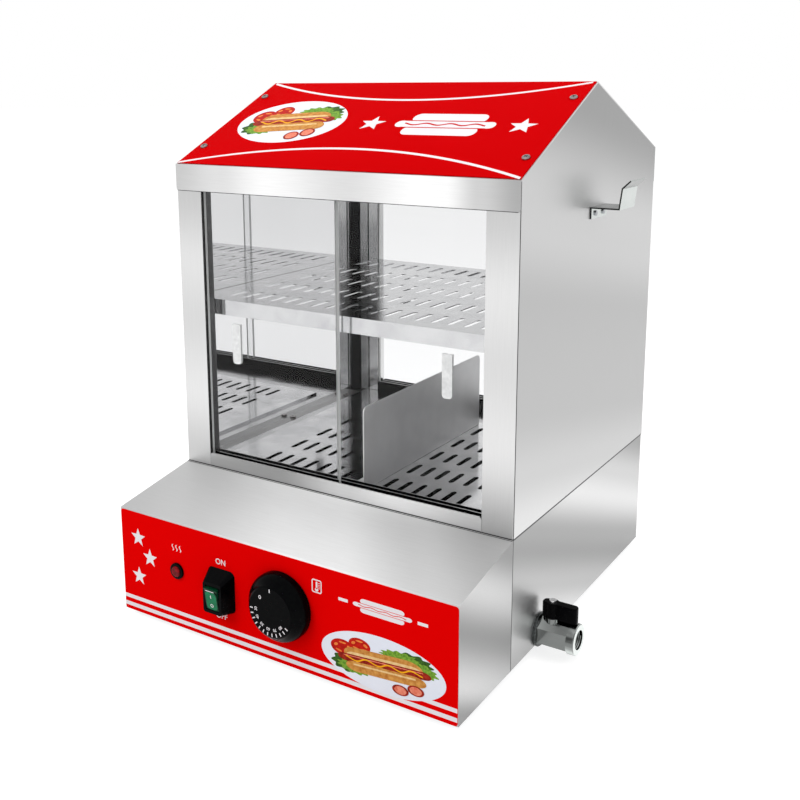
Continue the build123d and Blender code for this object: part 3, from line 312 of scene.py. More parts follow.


# Outer sheets: painted reflections, soft light and dark bands of satin steel along a direction on the
# drawing
paintedSheen = {
    # name: direction, then millimetres along it and brightness
    "wall": ((0, 0.2, 1.0), [
        (150, 0.86), (200, 0.78), (260, 0.715), (360, 0.715), (430, 0.8), (465, 0.81), (560, 0.63),
    ]),
    "baseSide": ((0, 0.39, 1.0), [
        (10, 0.68), (60, 0.89), (95, 0.74), (130, 0.61), (150, 0.64), (195, 0.88), (225, 0.80), (270, 0.61),
    ]),
    "cheek": ((0, 0.57, 1.0), [(-40, 0.62), (-12, 0.88), (38, 0.61), (82, 0.88), (125, 0.62)]),
    "deck": ((1.0, 0.74, 0), [(-270, 0.73), (-190, 0.79), (-50, 0.97), (0, 0.97), (90, 0.84), (180, 0.69)]),
    "header": ((1.0, 0, 0), [
        (-200, 0.79), (-140, 0.87), (-80, 0.97), (20, 0.86),
        (100, 0.98), (125, 0.97), (160, 0.80), (200, 0.67),
    ]),
    "column": ((0, 0, 1.0), [(150, 0.75), (225, 0.85), (300, 0.81), (370, 0.86), (440, 0.78)]),
    "flange": ((1.0, 0, 0), [(-167, 0.70), (-70, 0.66), (10, 0.85), (80, 0.95), (167, 0.83)]),
    "roof": ((0.4, 1.0, 0), [(0, 0.76), (240, 0.88), (330, 0.78), (440, 0.70)]),
    "back": ((0.3, 0, 1.0), [(-60, 0.74), (120, 0.88), (300, 0.74), (420, 0.84), (620, 0.72)]),
}
satin = (0.36, 0.44)
acrossGrain = (0.04, 1, 1)
uprightGrain = (1, 1, 0.04)
brushTones = ((0.955, 0.955, 0.955), (1, 1, 1))
sheets = {
    # name: painted reflection bands of faces along Y or Z, painted reflection bands of faces along X,
    # roughness, grain, share of metal
    "wallSheet": ("column", "wall", satin, uprightGrain, 1.0),
    "baseSheet": ("back", "baseSide", satin, acrossGrain, 1.0),
    "deckSheet": ("deck", "cheek", (0.5, 0.56), acrossGrain, 0.15),
    "headerSheet": ("header", "header", satin, acrossGrain, 1.0),
    "roofSheet": ("roof", "roof", satin, acrossGrain, 1.0),
    "trackSheet": ("flange", "flange", satin, acrossGrain, 1.0),
    "postSheet": ("back", "back", (0.12, 0.2), uprightGrain, 1.0),
}
returnTone = (0.16, 0.16, 0.16)
sheetLines = {
    # thin strips where sheets meet or fold: painted shade in the gaps, darker column returns, black pile in
    # the track channels and a painted highlight on the track tops; axis, from, to, the way their faces look
    # or None, tone
    "wallSheet": [
        ("Z", 139.0, 140.8, None, gapShade), ("Z", 466.4, 468.2, "Y", gapShade),
        ("X", -168.5, -165.5, "X", returnTone), ("X", 165.5, 168.5, "X", returnTone),
        ("Y", -0.5, 1.1, "X", gapShade),
    ],
    "baseSheet": [("Y", -1.0, 0.7, "X", gapShade), ("Z", 139.2, 141.0, None, gapShade)],
    "deckSheet": [("Y", -2.2, -1.2, "Z", gapShade), ("Y", -0.5, 0.7, None, gapShade)],
    "headerSheet": [("Z", 440.5, 441.6, "Y", gapShade)],
    "trackSheet": [
        ("Y", 0.9, 17.5, None, dark), ("Y", 336.0, 353.2, None, dark),
        # the light strip on the flange tops is a painted highlight
        ("Z", 154.7, 156.0, "Z", (0.8, 0.8, 0.8)), ("Z", 139.0, 140.9, "Y", gapShade),
    ],
    "postSheet": [
        # the dark strips near the walls are painted shade of the gaps between posts and walls
        ("X", -199.0, -190.0, None, dark), ("X", -183.0, -180.5, None, (0.1, 0.1, 0.1)),
        ("X", 190.0, 199.0, None, dark), ("X", 180.5, 183.0, None, (0.1, 0.1, 0.1)),
    ],
}
mirror = {
    # the polished inner faces of the walls: their sheet, where they are, their tone and roughness
    "sheet": "wallSheet",
    "within": 199.4,
    "behind": 18.0,
    "tone": (0.8, 0.8, 0.805),
    "smoothing": 1.02,
}


# painted reflection: a brightness that changes along a direction, set into the base colour
def paintedSheenRamp(tree, point, direction, stops):
    along = tree.nodes.new("ShaderNodeVectorMath")
    along.operation = "DOT_PRODUCT"
    tree.links.new(point, along.inputs[0])
    along.inputs[1].default_value = direction
    first, last = stops[0][0], stops[-1][0]
    share = spread(tree, along.outputs["Value"], 0.0, 1.0, first, last)
    return greyRamp(tree, share, [((place - first) / (last - first), tone) for place, tone in stops])


def mirrorFaces(tree, spots, sideways, colour, roughness):
    # the colour and roughness of a wall, changed where its inner face is
    inside = mathNode(tree, "LESS_THAN", mathNode(tree, "ABSOLUTE", spots["X"]), mirror["within"])
    inside = mathNode(tree, "MULTIPLY", inside, sideways)
    behind = mathNode(tree, "GREATER_THAN", spots["Y"], mirror["behind"])
    inside = mathNode(tree, "MULTIPLY", inside, behind)
    matt = mathNode(tree, "SUBTRACT", mirror["smoothing"], inside)
    roughness = mathNode(tree, "MULTIPLY", roughness, matt)
    return mixed(tree, inside, colour, (*mirror["tone"], 1)), roughness


def sheetPaint(name, front, side, rough, stretch, metal, lines):
    # a painted reflection band for each way the faces look, brushed grain over it, then the strips
    tree, shader = newPaint(name)
    point = drawingPoint(tree)
    spots = parts(tree, point)
    turns = faceTurns(tree)
    sideways = looksAlong(tree, turns["X"])
    colour = paintedSheenRamp(tree, point, *paintedSheen[front])
    if side != front:
        colour = mixed(tree, sideways, colour, paintedSheenRamp(tree, point, *paintedSheen[side]))
    grain = grainNoise(tree, grainScale["sheet"], stretch, 2.0)
    colour = mixed(tree, 1.0, colour, twoTone(tree, grain, *brushTones), "MULTIPLY")
    roughness = spread(tree, grain, *rough)
    for axis, low, high, facing, tone in lines:
        line = between(tree, spots[axis], low, high)
        if facing:
            line = mathNode(tree, "MULTIPLY", line, looksAlong(tree, turns[facing]))
        colour = mixed(tree, line, colour, (*tone, 1))
    if name == mirror["sheet"]:
        colour, roughness = mirrorFaces(tree, spots, sideways, colour, roughness)
    shader.inputs["Metallic"].default_value = metal
    tree.links.new(colour, shader.inputs["Base Color"])
    tree.links.new(roughness, shader.inputs["Roughness"])


for name, looks in sheets.items():
    sheetPaint(name, *looks, sheetLines.get(name, []))
print("sheet finishes ready")

metals = {
    # name: light tone, deep tone, roughness low and high, grain stretch, bump, share of metal
    "mirrorSheet": ((0.7, 0.7, 0.705), (0.56, 0.56, 0.57), (0.1, 0.16), (1, 1, 1), 0.01, 1.0),
    "traySheet": ((0.84, 0.84, 0.845), (0.6, 0.6, 0.61), (0.08, 0.16), (1, 1, 1), 0.01, 1.0),
    "dividerSheet": ((0.95, 0.95, 0.955), (0.78, 0.78, 0.785), (0.42, 0.5), (0.6, 0.6, 0.6), 0.0, 0.55),
    "heaterTube": ((0.03, 0.03, 0.031), (0.01, 0.01, 0.011), (0.35, 0.5), (3, 3, 3), 0.03, 1.0),
    "zincSteel": ((0.5, 0.51, 0.53), (0.3, 0.31, 0.33), (0.25, 0.4), (20, 20, 20), 0.05, 1.0),
    "screwSteel": ((0.4, 0.38, 0.37), (0.2, 0.18, 0.18), (0.25, 0.35), (10, 10, 10), 0.03, 1.0),
    "collarSteel": ((0.1, 0.11, 0.11), (0.02, 0.02, 0.02), (0.15, 0.3), (20, 20, 20), 0.05, 1.0),
    "brightSteel": ((0.9, 0.9, 0.9), (0.75, 0.75, 0.76), (0.2, 0.3), (10, 10, 10), 0.02, 1.0),
    "brass": ((0.75, 0.58, 0.3), (0.6, 0.45, 0.22), (0.2, 0.35), (20, 20, 20), 0.04, 1.0),
}
plastics = {
    # name: light tone, deep tone, roughness low and high, bump, shine
    "glossBlack": ((0.0015, 0.002, 0.002), (0.0005, 0.0005, 0.001), (0.14, 0.2), 0.01, 0.03),
    "leverBlack": ((0.001, 0.001, 0.0015), (0.0004, 0.0004, 0.0006), (0.12, 0.2), 0.01, 0.03),
    "greenPlastic": ((0.002, 0.045, 0.018), (0.001, 0.02, 0.008), (0.22, 0.3), 0.01, 0.1),
    "greenPanel": ((0.003, 0.2, 0.08), (0.002, 0.13, 0.05), (0.2, 0.28), 0.01, 0.1),
    "greyPlastic": ((0.3, 0.3, 0.3), (0.24, 0.24, 0.24), (0.4, 0.5), 0.05, 0.4),
    "footRubber": ((0.02, 0.02, 0.02), (0.01, 0.01, 0.01), (0.6, 0.75), 0.15, 0.2),
    "sealWhite": ((0.85, 0.85, 0.83), (0.8, 0.8, 0.78), (0.35, 0.45), 0.03, 0.4),
    "lensRed": ((0.3, 0.002, 0.008), (0.09, 0.001, 0.002), (0.1, 0.2), 0.01, 0.1),
    "tabFrost": ((0.86, 0.87, 0.87), (0.7, 0.71, 0.71), (0.2, 0.3), 0.01, 0.3),
}
prints = {
    # name: light tone, deep tone, grain scale
    "whitePrint": ((0.82, 0.8, 0.82), (0.77, 0.75, 0.78), 25.0),
    "ovalPrint": ((0.8, 0.84, 0.92), (0.75, 0.79, 0.88), 25.0),
    "leafPrint": ((0.25, 0.45, 0.05), (0.07, 0.2, 0.02), 420.0),
    "leafDark": ((0.06, 0.16, 0.02), (0.015, 0.05, 0.008), 420.0),
    "sausagePrint": ((0.42, 0.03, 0.012), (0.16, 0.006, 0.004), 300.0),
    "glowPrint": ((0.85, 0.3, 0.2), (0.7, 0.14, 0.08), 300.0),
    "bunPrint": ((0.68, 0.34, 0.08), (0.45, 0.16, 0.03), 260.0),
    "crumbPrint": ((0.85, 0.64, 0.33), (0.72, 0.45, 0.17), 260.0),
    "mustardPrint": ((0.92, 0.46, 0.01), (0.85, 0.36, 0.006), 200.0),
    "tomatoPrint": ((0.6, 0.015, 0.006), (0.38, 0.006, 0.003), 260.0),
    "seedPrint": ((0.85, 0.28, 0.06), (0.75, 0.16, 0.03), 260.0),
    "inkPrint": ((0.012, 0.012, 0.012), (0.006, 0.006, 0.006), 60.0),
}
printedReds = {
    # name: light tone, deep tone, grain scale, shine, roughness low and high
    "labelRed": ((0.76, 0.0003, 0.0005), (0.72, 0.0002, 0.0005), 4.0, 0.002, (0.3, 0.36)),
    "signRed": ((0.57, 0.0003, 0.0015), (0.52, 0.0002, 0.001), 4.0, 0.002, (0.3, 0.36)),
}


def toned(tree, shader, noise, light, deep, rough):
    # both tones and both roughnesses follow the same grain
    tree.links.new(twoTone(tree, noise, deep, light), shader.inputs["Base Color"])
    tree.links.new(spread(tree, noise, *rough), shader.inputs["Roughness"])


def metalPaint(name, light, deep, rough, stretch, bump, metal):
    tree, shader = newPaint(name)
    noise = grainNoise(tree, grainScale["metal"], stretch)
    shader.inputs["Metallic"].default_value = metal
    toned(tree, shader, noise, light, deep, rough)
    bumped(tree, shader, noise, bump)


def plasticPaint(name, light, deep, rough, bump, shine):
    tree, shader = newPaint(name)
    noise = grainNoise(tree, grainScale["plastic"])
    shader.inputs["Specular IOR Level"].default_value = shine
    toned(tree, shader, noise, light, deep, rough)
    bumped(tree, shader, noise, bump)


def printPaint(name, light, deep, scale, shine=0.05, rough=(0.35, 0.45)):
    tree, shader = newPaint(name)
    noise = grainNoise(tree, scale, detail=3.0)
    shader.inputs["Specular IOR Level"].default_value = shine
    toned(tree, shader, noise, light, deep, rough)


for name, looks in metals.items():
    metalPaint(name, *looks)
for name, looks in plastics.items():
    plasticPaint(name, *looks)
for name, looks in [*prints.items(), *printedReds.items()]:
    printPaint(name, *looks)

# Plated pieces with painted reflections, darker or lighter by how far a face looks up
chromeReflectionTones = [(0.0, 0.5), (0.25, 0.86), (0.42, 0.6), (0.5, 0.5), (0.7, 0.42), (0.9, 0.72), (1.0, 0.5)]
hookReflectionTones = [(0.0, 0.3), (0.3, 0.5), (0.5, 0.2), (0.75, 0.82), (0.9, 0.6), (1.0, 0.42)]
platings = {
    # name: painted reflection tones from faces that look down to faces that look up, painted reflection tone
    # of the ends, roughness
    "chrome": (chromeReflectionTones, 0.86, (0.08, 0.14)),
    "chromePipe": (chromeReflectionTones, 0.86, (0.08, 0.14)),
    "hookSheet": (hookReflectionTones, 0.66, (0.15, 0.25)),
}
platingCast = ((0.84, 0.9, 0.87), (0.96, 1, 0.98))
platingBump = 0.01
endTurn = 0.8  # the share of its direction past which a face is an end, across X
bore = {"finish": "chromePipe", "axis": (64.0, 22.0), "radius": 9.6}


def inBore(tree):
    # 1 within the bore of the valve, which runs along X
    spots = parts(tree, drawingPoint(tree))
    squares = []
    for axis, middle in zip("YZ", bore["axis"]):
        away = mathNode(tree, "SUBTRACT", spots[axis], middle)
        squares.append(mathNode(tree, "MULTIPLY", away, away))
    return mathNode(tree, "LESS_THAN", mathNode(tree, "ADD", *squares), bore["radius"] ** 2)


def platedPaint(name, tones, ends, rough):
    tree, shader = newPaint(name)
    turns = faceTurns(tree)
    # painted reflection: the tone follows the way each face looks
    colour = greyRamp(tree, spread(tree, turns["Z"], 0.0, 1.0, -1.0, 1.0), tones)
    colour = mixed(tree, looksAlong(tree, turns["X"], endTurn), colour, grey(ends))
    # the bore is painted dark, as shade inside the pipe
    if name == bore["finish"]:
        colour = mixed(tree, inBore(tree), colour, (*dark, 1))
    noise = grainNoise(tree, grainScale["plating"])
    cast = twoTone(tree, noise, *platingCast)
    shader.inputs["Metallic"].default_value = 1.0
    tree.links.new(mixed(tree, 1.0, colour, cast, "MULTIPLY"), shader.inputs["Base Color"])
    tree.links.new(spread(tree, noise, *rough), shader.inputs["Roughness"])
    bumped(tree, shader, noise, platingBump)


for name, looks in platings.items():
    platedPaint(name, *looks)

glass = {
    "face": (0.9, 0.902, 0.905),
    "edge": (0.9, 0.92, 0.91),
    "faceRough": (0.0, 0.004),
    "edgeRough": 0.3,
    "edgeClear": 0.05,
    "bend": 1.16,
    "lightThrough": 0.95,
}


def glassPaint():
    # clear panes with pale ground edges, which let the studio light fall through
    tree, shader = newPaint("doorGlass")
    flat = looksAlong(tree, faceTurns(tree)["Y"])
    noise = grainNoise(tree, grainScale["glass"], detail=2.0)
    edges = mathNode(tree, "MULTIPLY", mathNode(tree, "SUBTRACT", 1.0, flat), glass["edgeRough"])
    rough = mathNode(tree, "ADD", spread(tree, noise, *glass["faceRough"]), edges)
    tone = mixed(tree, flat, (*glass["edge"], 1), (*glass["face"], 1))
    tree.links.new(tone, shader.inputs["Base Color"])
    tree.links.new(mathNode(tree, "MAXIMUM", flat, glass["edgeClear"]), shader.inputs["Transmission Weight"])
    tree.links.new(rough, shader.inputs["Roughness"])
    shader.inputs["IOR"].default_value = glass["bend"]
    rays = tree.nodes.new("ShaderNodeLightPath").outputs
    shaded = mathNode(tree, "MAXIMUM", rays["Is Shadow Ray"], rays["Is Diffuse Ray"])
    clear = tree.nodes.new("ShaderNodeBsdfTransparent")
    clear.inputs["Color"].default_value = grey(glass["lightThrough"])
    look = mixShaders(tree, shaded, shader.outputs[0], clear.outputs[0])
    tree.links.new(look, tree.nodes["Material Output"].inputs["Surface"])


tank = {
    # a bright ledge on top, and the pan below painted near-black as shade inside the tank
    "ledgeHeight": 140.1,
    "ledge": ((0.5, 0.5, 0.505), (0.7, 0.7, 0.705)),
    "pan": ((0.008, 0.008, 0.009), (0.02, 0.02, 0.021)),
    "rough": (0.1, 0.2),
}


def tankPaint():
    tree, shader = newPaint("tankWall")
    noise = grainNoise(tree, grainScale["metal"])
    height = parts(tree, drawingPoint(tree))["Z"]
    top = mathNode(tree, "GREATER_THAN", height, tank["ledgeHeight"])
    ledge = twoTone(tree, noise, *tank["ledge"])
    # painted shade: the pan under the ledge is near-black
    pan = twoTone(tree, noise, *tank["pan"])
    shader.inputs["Metallic"].default_value = 1.0
    tree.links.new(mixed(tree, top, pan, ledge), shader.inputs["Base Color"])
    tree.links.new(spread(tree, noise, *tank["rough"]), shader.inputs["Roughness"])


glassPaint()
tankPaint()
finishes = {
    # finish: the CAD nodes that have it
    "wallSheet": ["left_side_panel", "right_side_panel"],
    "baseSheet": ["base_shell"],
    "deckSheet": ["control_box"],
    "headerSheet": ["front_header", "rear_header"],
    "roofSheet": ["roof_panel"],
    "trackSheet": ["front_lower_track", "rear_lower_track", "front_upper_track", "rear_upper_track"],
    "postSheet": ["left_rear_post", "right_rear_post"],
    "mirrorSheet": ["upper_shelf", "shelf_rails"],
    "traySheet": ["lower_tray"],
    "dividerSheet": ["tray_divider"],
    "heaterTube": ["heating_element"],
    "tankWall": ["water_tank"],
    "hookSheet": ["tongs_hook"],
    "zincSteel": [
        "bottom_plate", "foot_screws", "element_nuts", "hook_rivets", "gland_locknut",
        "drain_locknut", "cutout_thermostat",
    ],
    "screwSteel": ["sign_screws", "ledge_screws"],
    "collarSteel": ["valve_washer"],
    "brightSteel": ["lever_screw"],
    "chrome": ["valve_ball", "valve_stem", "drain_elbow"],
    "chromePipe": ["valve_body"],
    "brass": ["thermostat_shaft", "thermostat_bulb"],
    "glossBlack": ["dial_knob", "switch_housing", "lamp_bezel", "cable_gland"],
    "leverBlack": ["valve_lever"],
    "greenPlastic": ["switch_rocker"],
    "greyPlastic": ["thermostat_body", "terminal_block"],
    "footRubber": ["rubber_feet"],
    "sealWhite": ["valve_seats"],
    "doorGlass": ["front_left_door", "front_right_door", "rear_left_door", "rear_right_door"],
    "tabFrost": ["front_left_handle", "front_right_handle", "rear_left_handle", "rear_right_handle"],
    "lensRed": ["lamp_lens"],
    "labelRed": ["front_label"],
    "signRed": ["sign_panel"],
}
for finish, nodeNames in finishes.items():
    for nodeName in nodeNames:
        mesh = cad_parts[nodeName].data
        mesh.materials.clear()
        mesh.materials.append(paints[finish])
print("finishes ready")


# Flat print: closed outlines in millimetres on a face, made a thin mesh
def printFace(origin, up, body, slotName):
    # x runs to the right, y up the face and z outwards; body is for what is printed on it, and slotName is
    # not used
    across = Vector((1, 0, 0))
    up = Vector(up).normalized()
    turn = Matrix((across, up, across.cross(up))).transposed().to_4x4()
    return Matrix.Translation(origin) @ turn @ Matrix.Scale(0.001, 4), body, slotName


def finishFlat(item, sheet, body, finish):
    selectOnly(item)
    bpy.ops.object.convert(target="MESH")
    piece = bpy.context.object
    piece.data.transform(sheet)
    piece.data.materials.clear()
    piece.data.materials.append(paints[finish])
    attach(piece, body)


def flatPrint(name, outlines, face, height=0, finish="whitePrint", thick=0.06):
    sheet, body, slotName = face
    curve = bpy.data.curves.new(name, "CURVE")
    curve.dimensions = "2D"
    curve.fill_mode = "BOTH"
    curve.extrude = thick / 2
    for outline in outlines:
        spline = curve.splines.new("POLY")
        spline.points.add(len(outline) - 1)
        for point, (x, y) in zip(spline.points, outline):
            point.co = (x, y, 0, 1)
        spline.use_cyclic_u = True
    place = sheet @ Matrix.Translation((0, 0, height + thick / 2))
    finishFlat(inScene(name, curve), place, body, finish)


def wordPrint(name, letters, size, x, y, face, turn=0.0, thick=0.06):
    sheet, body, slotName = face
    curve = bpy.data.curves.new(name, "FONT")
    curve.body = letters
    curve.size = size
    curve.align_x = "CENTER"
    curve.align_y = "CENTER"
    curve.extrude = thick / 2
    curve.offset = size * 0.012  # a little bolder
    place = sheet @ Matrix.Translation((x, y, 0)) @ Matrix.Rotation(turn, 4, "Z")
    place = place @ Matrix.Translation((0, 0, thick / 2))
    finishFlat(inScene(name, curve), place, body, "whitePrint")


def star(x, y, radius):
    points = []
    for corner in range(10):
        reach = radius if corner % 2 == 0 else radius * 0.42
        angle = math.radians(90 + 36 * corner)
        points.append((x + reach * math.cos(angle), y + reach * math.sin(angle)))
    return points


def oval(x, y, wide, high, turn=0.0, waves=0, depth=0.0, count=72):
    # an oval, with a wavy edge for a leaf
    points = []
    for step in range(count):
        angle = 2 * math.pi * step / count
        grow = 1 + depth * math.sin(waves * angle)
        across = wide * grow * math.cos(angle)
        up = high * grow * math.sin(angle)
        points.append((
            x + across * math.cos(turn) - up * math.sin(turn),
            y + across * math.sin(turn) + up * math.cos(turn),
        ))
    return points


def box(x, y, wide, high, radius=0.0):
    # a rectangle about its middle, with round corners if it has a radius
    corners = ((0, 1, 1), (90, -1, 1), (180, -1, -1), (270, 1, -1))
    if radius == 0:
        return [(x + side * wide / 2, y + rise * high / 2) for _, side, rise in corners]
    points = []
    for start, side, rise in corners:
        for step in range(7):
            angle = math.radians(start + 15 * step)
            points.append((
                x + side * (wide / 2 - radius) + radius * math.cos(angle),
                y + rise * (high / 2 - radius) + radius * math.sin(angle),
            ))
    return points


def band(line, start, stop, width, count=60):
    # a strip of even width along y = line(x)
    steps = [start + (stop - start) * step / count for step in range(count + 1)]
    upper = [(x, line(x) + width / 2) for x in steps]
    lower = [(x, line(x) - width / 2) for x in reversed(steps)]
    return upper + lower


def turned(points, x, y, turn):
    # points turned about zero, then moved to x, y
    return [(
        x + px * math.cos(turn) - py * math.sin(turn),
        y + px * math.sin(turn) + py * math.cos(turn),
    ) for px, py in points]


bunMark = {
    # a plain sign of a sausage in a bun, on its own field
    "field": (118, 44),
    "bun": (88, 17, 8),
    "bunRise": 13.5,
    "sausage": (118, 13, 6.4),
    "sausageLayer": 0.02,
    "gapRise": 7.0,
    "gapHalf": 50,
    "gapWide": 1.6,
    "waveHalf": 48,
    "waveWide": 2.4,
    "waveSwing": 1.8,
    "waveBend": 4.6,
    "lineLayer": 0.05,
}


def hotDogMark(name, x, y, wide, high, face, height, back):
    # white bun halves and sausage, with the gaps and the wave in the colour of what is behind
    def scaled(points):
        fieldWide, fieldHigh = bunMark["field"]
        return [(x + px * wide / fieldWide, y + py * high / fieldHigh) for px, py in points]

    def line(rise, half, width, count):
        return scaled(band(rise, -half, half, width, count))

    wave = line(
        lambda px: bunMark["waveSwing"] * math.sin(px / bunMark["waveBend"]),
        bunMark["waveHalf"], bunMark["waveWide"], 120,
    )
    gaps = [
        line(lambda px: side * bunMark["gapRise"], bunMark["gapHalf"], bunMark["gapWide"], 2)
        for side in (-1, 1)
    ]
    sausageHeight = height + bunMark["sausageLayer"]
    lineHeight = height + bunMark["lineLayer"]
    flatPrint(f"{name}_bunUpper", [scaled(box(0, bunMark["bunRise"], *bunMark["bun"]))], face, height)
    flatPrint(f"{name}_bunLower", [scaled(box(0, -bunMark["bunRise"], *bunMark["bun"]))], face, height)
    flatPrint(f"{name}_sausage", [scaled(box(0, 0, *bunMark["sausage"]))], face, sausageHeight)
    flatPrint(f"{name}_gaps", gaps, face, lineHeight, back)
    flatPrint(f"{name}_wave", [wave], face, lineHeight, back)


dish = {
    # a made-up dish in flat print, on a field from -1 to 1 each way
    "tilt": 0.2,
    "layerRise": 0.015,
    "layerThick": 0.05,
    "tomatoes": [(-0.64, 0.18, 0.2), (-0.36, 0.44, 0.18)],
    "slices": [(0.3, -0.66), (0.54, -0.5)],
}


def tomatoSeeds(px, py, size):
    seeds = []
    for step in range(5):
        angle = math.radians(72 * step + 20)
        seedX = px + size * 0.58 * math.cos(angle)
        seedY = py + size * 0.85 * math.sin(angle)
        seeds.append(oval(seedX, seedY, 0.03, 0.06, angle, count=16))
    return seeds


def dishLayers():
    # name, finish and outlines of each layer, from the plate up: ovals by middle, size, turn and waves of
    # the edge, and boxes by middle, size and corner radius, tilted and moved to their place
    def tilted(points, px, py):
        return [turned(points, px, py, dish["tilt"])]

    mustard = band(lambda px: 0.06 * math.sin(px * 17), -0.62, 0.62, 0.05, 90)
    layers = [
        ("plate", "ovalPrint", [oval(0, 0, 1, 1)]),
        ("leafBack", "leafDark", [
            oval(0.44, 0.42, 0.36, 0.3, 0.5, 11, 0.1), oval(-0.52, -0.3, 0.28, 0.34, -0.4, 9, 0.1),
        ]),
        ("leafLeft", "leafPrint", [oval(-0.46, -0.42, 0.26, 0.2, -0.2, 11, 0.12)]),
        ("leafTop", "leafPrint", [oval(0.28, 0.48, 0.3, 0.2, 0.2, 13, 0.12)]),
        ("leafRight", "leafPrint", [oval(0.62, 0.32, 0.18, 0.28, 0.9, 9, 0.12)]),
    ]
    for index, (px, py, size) in enumerate(dish["tomatoes"]):
        layers.append((f"tomato{index}", "tomatoPrint", [oval(px, py, size, size * 1.45)]))
        layers.append((f"seeds{index}", "seedPrint", tomatoSeeds(px, py, size)))
    layers += [
        ("bunBack", "bunPrint", tilted(box(0, 0, 1.28, 0.52, 0.24), 0.02, 0.14)),
        ("crumb", "crumbPrint", tilted(box(0, 0, 1.22, 0.3, 0.14), 0.03, 0.08)),
        ("sausage", "sausagePrint", tilted(box(0, 0, 1.52, 0.27, 0.13), 0.03, 0.0)),
        ("glow", "glowPrint", tilted(box(0, 0.075, 1.3, 0.03, 0.014), 0.03, 0.0)),
        ("mustard", "mustardPrint", tilted(mustard, 0.03, 0.0)),
        ("bunFront", "bunPrint", tilted(box(0, 0, 1.3, 0.36, 0.17), 0.06, -0.27)),
        ("bunShine", "crumbPrint", tilted(box(0, 0, 1.02, 0.06, 0.028), 0.04, -0.2)),
    ]
    for index, (px, py) in enumerate(dish["slices"]):
        layers.append((f"slice{index}", "sausagePrint", [oval(px, py, 0.13, 0.18)]))
        layers.append((f"sliceFace{index}", "glowPrint", [oval(px, py, 0.095, 0.14)]))
    return layers


def foodPicture(name, x, y, wide, high, face, height):
    for level, (part, finish, outlines) in enumerate(dishLayers()):
        drawn = [[(x + px * wide, y + py * high) for px, py in outline] for outline in outlines]
        rise = height + dish["layerRise"] * level
        flatPrint(f"{name}_{part}", drawn, face, rise, finish, dish["layerThick"])


# Control panel print
label = {
    "foot": 8,
    "stars": [(-176.2, 84.5), (-160.5, 65.5), (-177.2, 41.7)],
    "starRadius": 10.2,
    "stripeWide": 398.6,
    "stripes": [(15.4, 4.1), (6.6, 4.3)],
    "oval": (122.3, 34.3, 65.9, 27.1),
    "ovalHeight": 0.06,
    "dashes": [(81.1, 10.3), (164.6, 10.4)],
    "dashPlace": 86.0,
    "dashHigh": 3.0,
    "mark": (122.8, 86.0, 62, 13.5),
    "words": [("wordOn", "ON", 8.2, -64.4, 85.2), ("wordOff", "OFF", 8.4, -65.4, 28.2)],
}
gauge = {
    "frame": [(51.7, 91.3, 11.2, 13.2, 2.0), (51.7, 91.3, 9.0, 11.0, 1.2)],
    "tube": (51.7, 92.2, 2.0, 7.4, 0.9),
    "bulb": (51.7, 88.0, 1.9, 1.9),
    "firstMark": (54.4, 89.6),
    "markApart": 1.7,
    "markSize": (1.6, 0.6),
    "markCount": 4,
}
heat = {
    "first": -127.6,
    "apart": 4.9,
    "count": 3,
    "foot": 82.4,
    "step": 0.55,
    "steps": 13,
    "halfWide": 0.55,
    "sway": 0.9,
    "bend": 0.95,
}


def heatWave(middle):
    # a thin upright strip that sways from side to side
    heights = [heat["foot"] + heat["step"] * step for step in range(heat["steps"])]
    sways = [heat["sway"] * math.sin((high - heat["foot"]) * heat["bend"]) for high in heights]
    left = [(middle - heat["halfWide"] + sway, high) for sway, high in zip(sways, heights)]
    right = [(middle + heat["halfWide"] + sway, high) for sway, high in zip(sways, heights)]
    return left + right[::-1]


labelOrigin = spot(0, frontOf("front_label"), label["foot"])
labelFace = printFace(labelOrigin, (0, 0, 1), "cabinet", "red_print")
markX, markY = gauge["firstMark"]
markPlaces = [markY + gauge["markApart"] * step for step in range(gauge["markCount"])]
wavePlaces = [heat["first"] + heat["apart"] * step for step in range(heat["count"])]
flatPrint("labelStars", [star(x, y, label["starRadius"]) for x, y in label["stars"]], labelFace)
flatPrint("labelStripes", [box(0, y, label["stripeWide"], high) for y, high in label["stripes"]], labelFace)
foodPicture("labelPicture", *label["oval"], labelFace, label["ovalHeight"])
dashes = [box(x, label["dashPlace"], wide, label["dashHigh"]) for x, wide in label["dashes"]]
flatPrint("labelDashes", dashes, labelFace)
hotDogMark("labelMark", *label["mark"], labelFace, 0, "labelRed")
flatPrint("gaugeFrame", [box(*edge) for edge in gauge["frame"]], labelFace)
flatPrint("gaugeTube", [box(*gauge["tube"]), oval(*gauge["bulb"])], labelFace)
flatPrint("gaugeMarks", [box(markX, y, *gauge["markSize"]) for y in markPlaces], labelFace)
flatPrint("heatMark", [heatWave(middle) for middle in wavePlaces], labelFace)
for word in label["words"]:
    wordPrint(*word, labelFace)
print("panel print ready")

# Roof sign print, on the slope from the eave to the ridge
roof = {"eave": 469, "run": 170, "rise": 84}
sign = {
    "top": 0.8,
    "curves": [
        # name, place at the middle, rise at the reach, reach, half length
        ("signCurveHigh", 147, 39.4, 196, 196),
        ("signCurveLow", 42, -41, 200, 198),
    ],
    "curveWide": 3.6,
    "picture": (-112, 96, 67, 47),
    "mark": (76, 95, 112, 44),
    "stars": [(-8, 95), (160, 95)],
    "starRadius": 15,
}
slope = math.atan2(roof["rise"], roof["run"])
signUp = (0, math.cos(slope), math.sin(slope))
signFace = printFace(spot(0, 0, roof["eave"]), signUp, "cabinet", "red_print")
for name, middle, rise, reach, half in sign["curves"]:
    curve = band(lambda x: middle + rise * (x / reach) ** 2, -half, half, sign["curveWide"])
    flatPrint(name, [curve], signFace, sign["top"])
foodPicture("signPicture", *sign["picture"], signFace, sign["top"])
